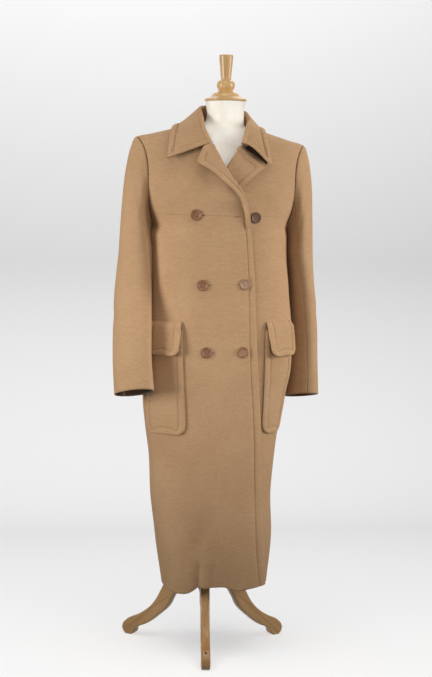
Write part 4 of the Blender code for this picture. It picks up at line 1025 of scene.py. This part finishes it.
def horn(name, light, dark):
    """Moulded horn-look plastic: drawn-out clouds of two browns, about 8 mm across, under a satin polish."""
    made, tree, shader = material(name)
    place = add(tree, "ShaderNodeTexCoord").outputs["Object"]
    drawn = add(tree, "ShaderNodeMapping", {"Vector": place, "Scale": (1, 1, 3.2), "Rotation": (0, 0.5, 0)})
    cloud = add(tree, "ShaderNodeTexNoise", {"Vector": drawn.outputs["Vector"], "Scale": 130.0, "Detail": 3})
    tone = tones(tree, cloud.outputs["Fac"], dark, light, (0.35, 0.68))
    feed(tree, shader, {"Base Color": tone, "Roughness": 0.42})
    return made


profile = np.array(BUTTON_PROFILE)[::-1]
spin = np.linspace(0, 2 * math.pi, 48, endpoint=False)
for word, x, height, on_right, light, dark in BUTTONS:
    turn = turn_at(x, height)
    normal = body_normal(turn, height)
    lift = (right_lift if on_right else left_lift)(turn, height)
    seat = hang(on_body(turn, height, lift + BUTTON_GAP))
    across = unit(np.cross((0, 0, 1), normal))
    upward = np.cross(normal, across)
    rings = (
        seat + profile[:, :1, None] * (np.cos(spin)[:, None] * across + np.sin(spin)[:, None] * upward)
        + profile[:, 1:, None] * normal
    )
    plastic = horn("horn_" + word, light, dark)
    button = piece("button_disc_" + word, rings.reshape(-1, 3), loft(rings), [plastic])
    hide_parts("button_" + word)
BUTTONHOLES = (
    # from x, to x, height
    (19, 37, 1112.6), (30, 50, 946), (30, 47, 777), (-71, -50, 1114), (-54, -34, 943), (-44, -24, 776),
)
HOLE_HALF, HOLE_STAND = 0.8, 0.45
# The slits' dark thread stands in for the shade inside each slit: painted shade.
SLIT_THREAD_AND_SHADE = "#6E4E33", "#62442B", "#4A3220"
hole_share = np.linspace(0, 1, 13)
hole_width = HOLE_HALF * np.sin(math.pi * np.clip(hole_share, 0.08, 0.92)) ** 0.4
slit_thread_and_shade = wool("buttonhole_thread_painted_shade", *SLIT_THREAD_AND_SHADE)
hole_points, hole_faces = [], []
for x_from, x_to, height in BUTTONHOLES:
    hole_turn = turn_at(x_from + (x_to - x_from) * hole_share, np.full(len(hole_share), height))
    raised = right_lift(hole_turn, height)
    low_edge = hang(on_body(hole_turn, height - hole_width, raised))
    high_edge = hang(on_body(hole_turn, height + hole_width, raised))
    crest = hang(on_body(hole_turn, np.full(len(hole_turn), height), raised + HOLE_STAND))
    rings = np.stack([low_edge, crest, high_edge], axis=1)
    hole_faces += [[corner + len(hole_points) * rings.shape[0] * 3 for corner in face] for face in loft(rings)]
    hole_points.append(rings.reshape(-1, 3))
piece("buttonholes", np.concatenate(hole_points), hole_faces, [slit_thread_and_shade])

# Floor and backdrop: one pale sheet that curves up behind the stand, clear when it is seen from behind.
# Soft lamps from both sides, the front, the back and above light the object, and one the form; two light the paper.
FLOOR, AIR, AIR_STRENGTH = "#EDEDED", "#F4F3F5", 0.12
FLOOR_FRONT, SWEEP_START, SWEEP_RADIUS, SWEEP_HIGH, SWEEP_WIDE = -6000.0, 1500.0, 900.0, 4200.0, 9000.0
bend = np.linspace(0, math.pi / 2, 24)
sweep_y = np.concatenate([[FLOOR_FRONT], SWEEP_START + SWEEP_RADIUS * np.sin(bend), [SWEEP_START + SWEEP_RADIUS]])
sweep_z = np.concatenate([[0], SWEEP_RADIUS * (1 - np.cos(bend)), [SWEEP_HIGH]])
sweep_mesh = bpy.data.meshes.new("backdrop")
sweep_points = [(x * MM, y * MM, z * MM) for x in (-SWEEP_WIDE, SWEEP_WIDE) for y, z in zip(sweep_y, sweep_z)]
sweep_count = len(sweep_y)
sweep_faces = [(i, i + sweep_count, i + sweep_count + 1, i + 1) for i in range(sweep_count - 1)]
sweep_mesh.from_pydata(sweep_points, [], sweep_faces)
sweep_mesh.polygons.foreach_set("use_smooth", np.ones(len(sweep_faces), bool))
paper, paper_tree, paper_shader = material("pale_paper")
feed(paper_tree, paper_shader, {"Base Color": linear(FLOOR), "Roughness": 0.9})
behind = add(paper_tree, "ShaderNodeNewGeometry").outputs["Backfacing"]
clear = add(paper_tree, "ShaderNodeBsdfTransparent").outputs["BSDF"]
one_sided = add(paper_tree, "ShaderNodeMixShader", {0: behind, 1: paper_shader.outputs["BSDF"], 2: clear})
paper_tree.links.new(one_sided.outputs["Shader"], paper_tree.nodes["Material Output"].inputs["Surface"])
sweep_mesh.materials.append(paper)
backdrop = bpy.data.objects.new("backdrop", sweep_mesh)
bpy.context.scene.collection.objects.link(backdrop)
backdrop.visible_diffuse = False
LIGHTS = (
    # name, place, aim, size, spread in degrees, watts, what it lights, casts shadows
    ("key", (2.6, -0.7, 1.4), (0, 0, 0.95), 0.8, 72, 6.0, "object", True),
    ("high", (2.2, -1.6, 2.1), (0, 0, 1.0), 0.8, 80, 3.9, "object", True),
    ("fill", (-2.6, -0.9, 1.25), (0, 0, 0.95), 1.0, 60, 7.2, "object", True),
    ("waist", (0.7, -3.1, 0.9), (-0.06, 0, 0.78), 0.6, 28, 0.75, "object", True),
    ("front", (-0.3, -2.8, 2.9), (0, 0, 1.15), 1.5, 70, 1.2, "object", True),
    ("top", (0.0, -0.5, 3.4), (0, 0, 1.0), 1.5, 90, 4.0, "object", True),
    ("back", (0.5, 1.7, 3.0), (0, 0, 0.8), 1.5, 90, 4.5, "object", True),
    ("neck", (-0.6, -3.0, 1.7), (0, 0, 1.3), 1.2, 180, 33, "form", True),
    ("wash", (-0.6, -0.8, 4.6), (-0.3, 1.6, 0), 5.0, 180, 86, "backdrop", True),
    ("glow", (0.0, -0.6, 4.0), (0, 2.6, 1.2), 4.0, 180, 180, "backdrop", False),
)
lit = {name: bpy.data.collections.new("lit_" + name) for name in ("object", "form", "backdrop")}
lit["form"].objects.link(torso)
lit["backdrop"].objects.link(backdrop)
lit["object"].objects.link(backdrop)
lit["object"].collection_objects[0].light_linking.link_state = "EXCLUDE"
for name, place, aim, size, spread, watts, lights_up, shadows in LIGHTS:
    lamp_data = bpy.data.lights.new(name, "AREA")
    lamp_data.shape, lamp_data.size, lamp_data.energy = "SQUARE", size, watts
    lamp_data.spread = math.radians(spread)
    lamp_data.use_shadow = shadows
    lamp = bpy.data.objects.new(name, lamp_data)
    ahead = unit(np.array(aim) - np.array(place))
    right = unit(np.cross(ahead, (0, 0, 1)))
    axes = np.eye(4)
    axes[:3, :3] = np.stack([right, np.cross(right, ahead), -ahead], axis=1)
    axes[:3, 3] = place
    lamp.matrix_world = Matrix(axes.tolist())
    bpy.context.scene.collection.objects.link(lamp)
    lamp.light_linking.receiver_collection = lit[lights_up]
world = bpy.data.worlds.new("studio")
world.use_nodes = True
feed(world.node_tree, world.node_tree.nodes["Background"], {"Color": linear(AIR), "Strength": AIR_STRENGTH})
bpy.context.scene.world = world
bpy.context.scene.view_settings.view_transform = "Standard"
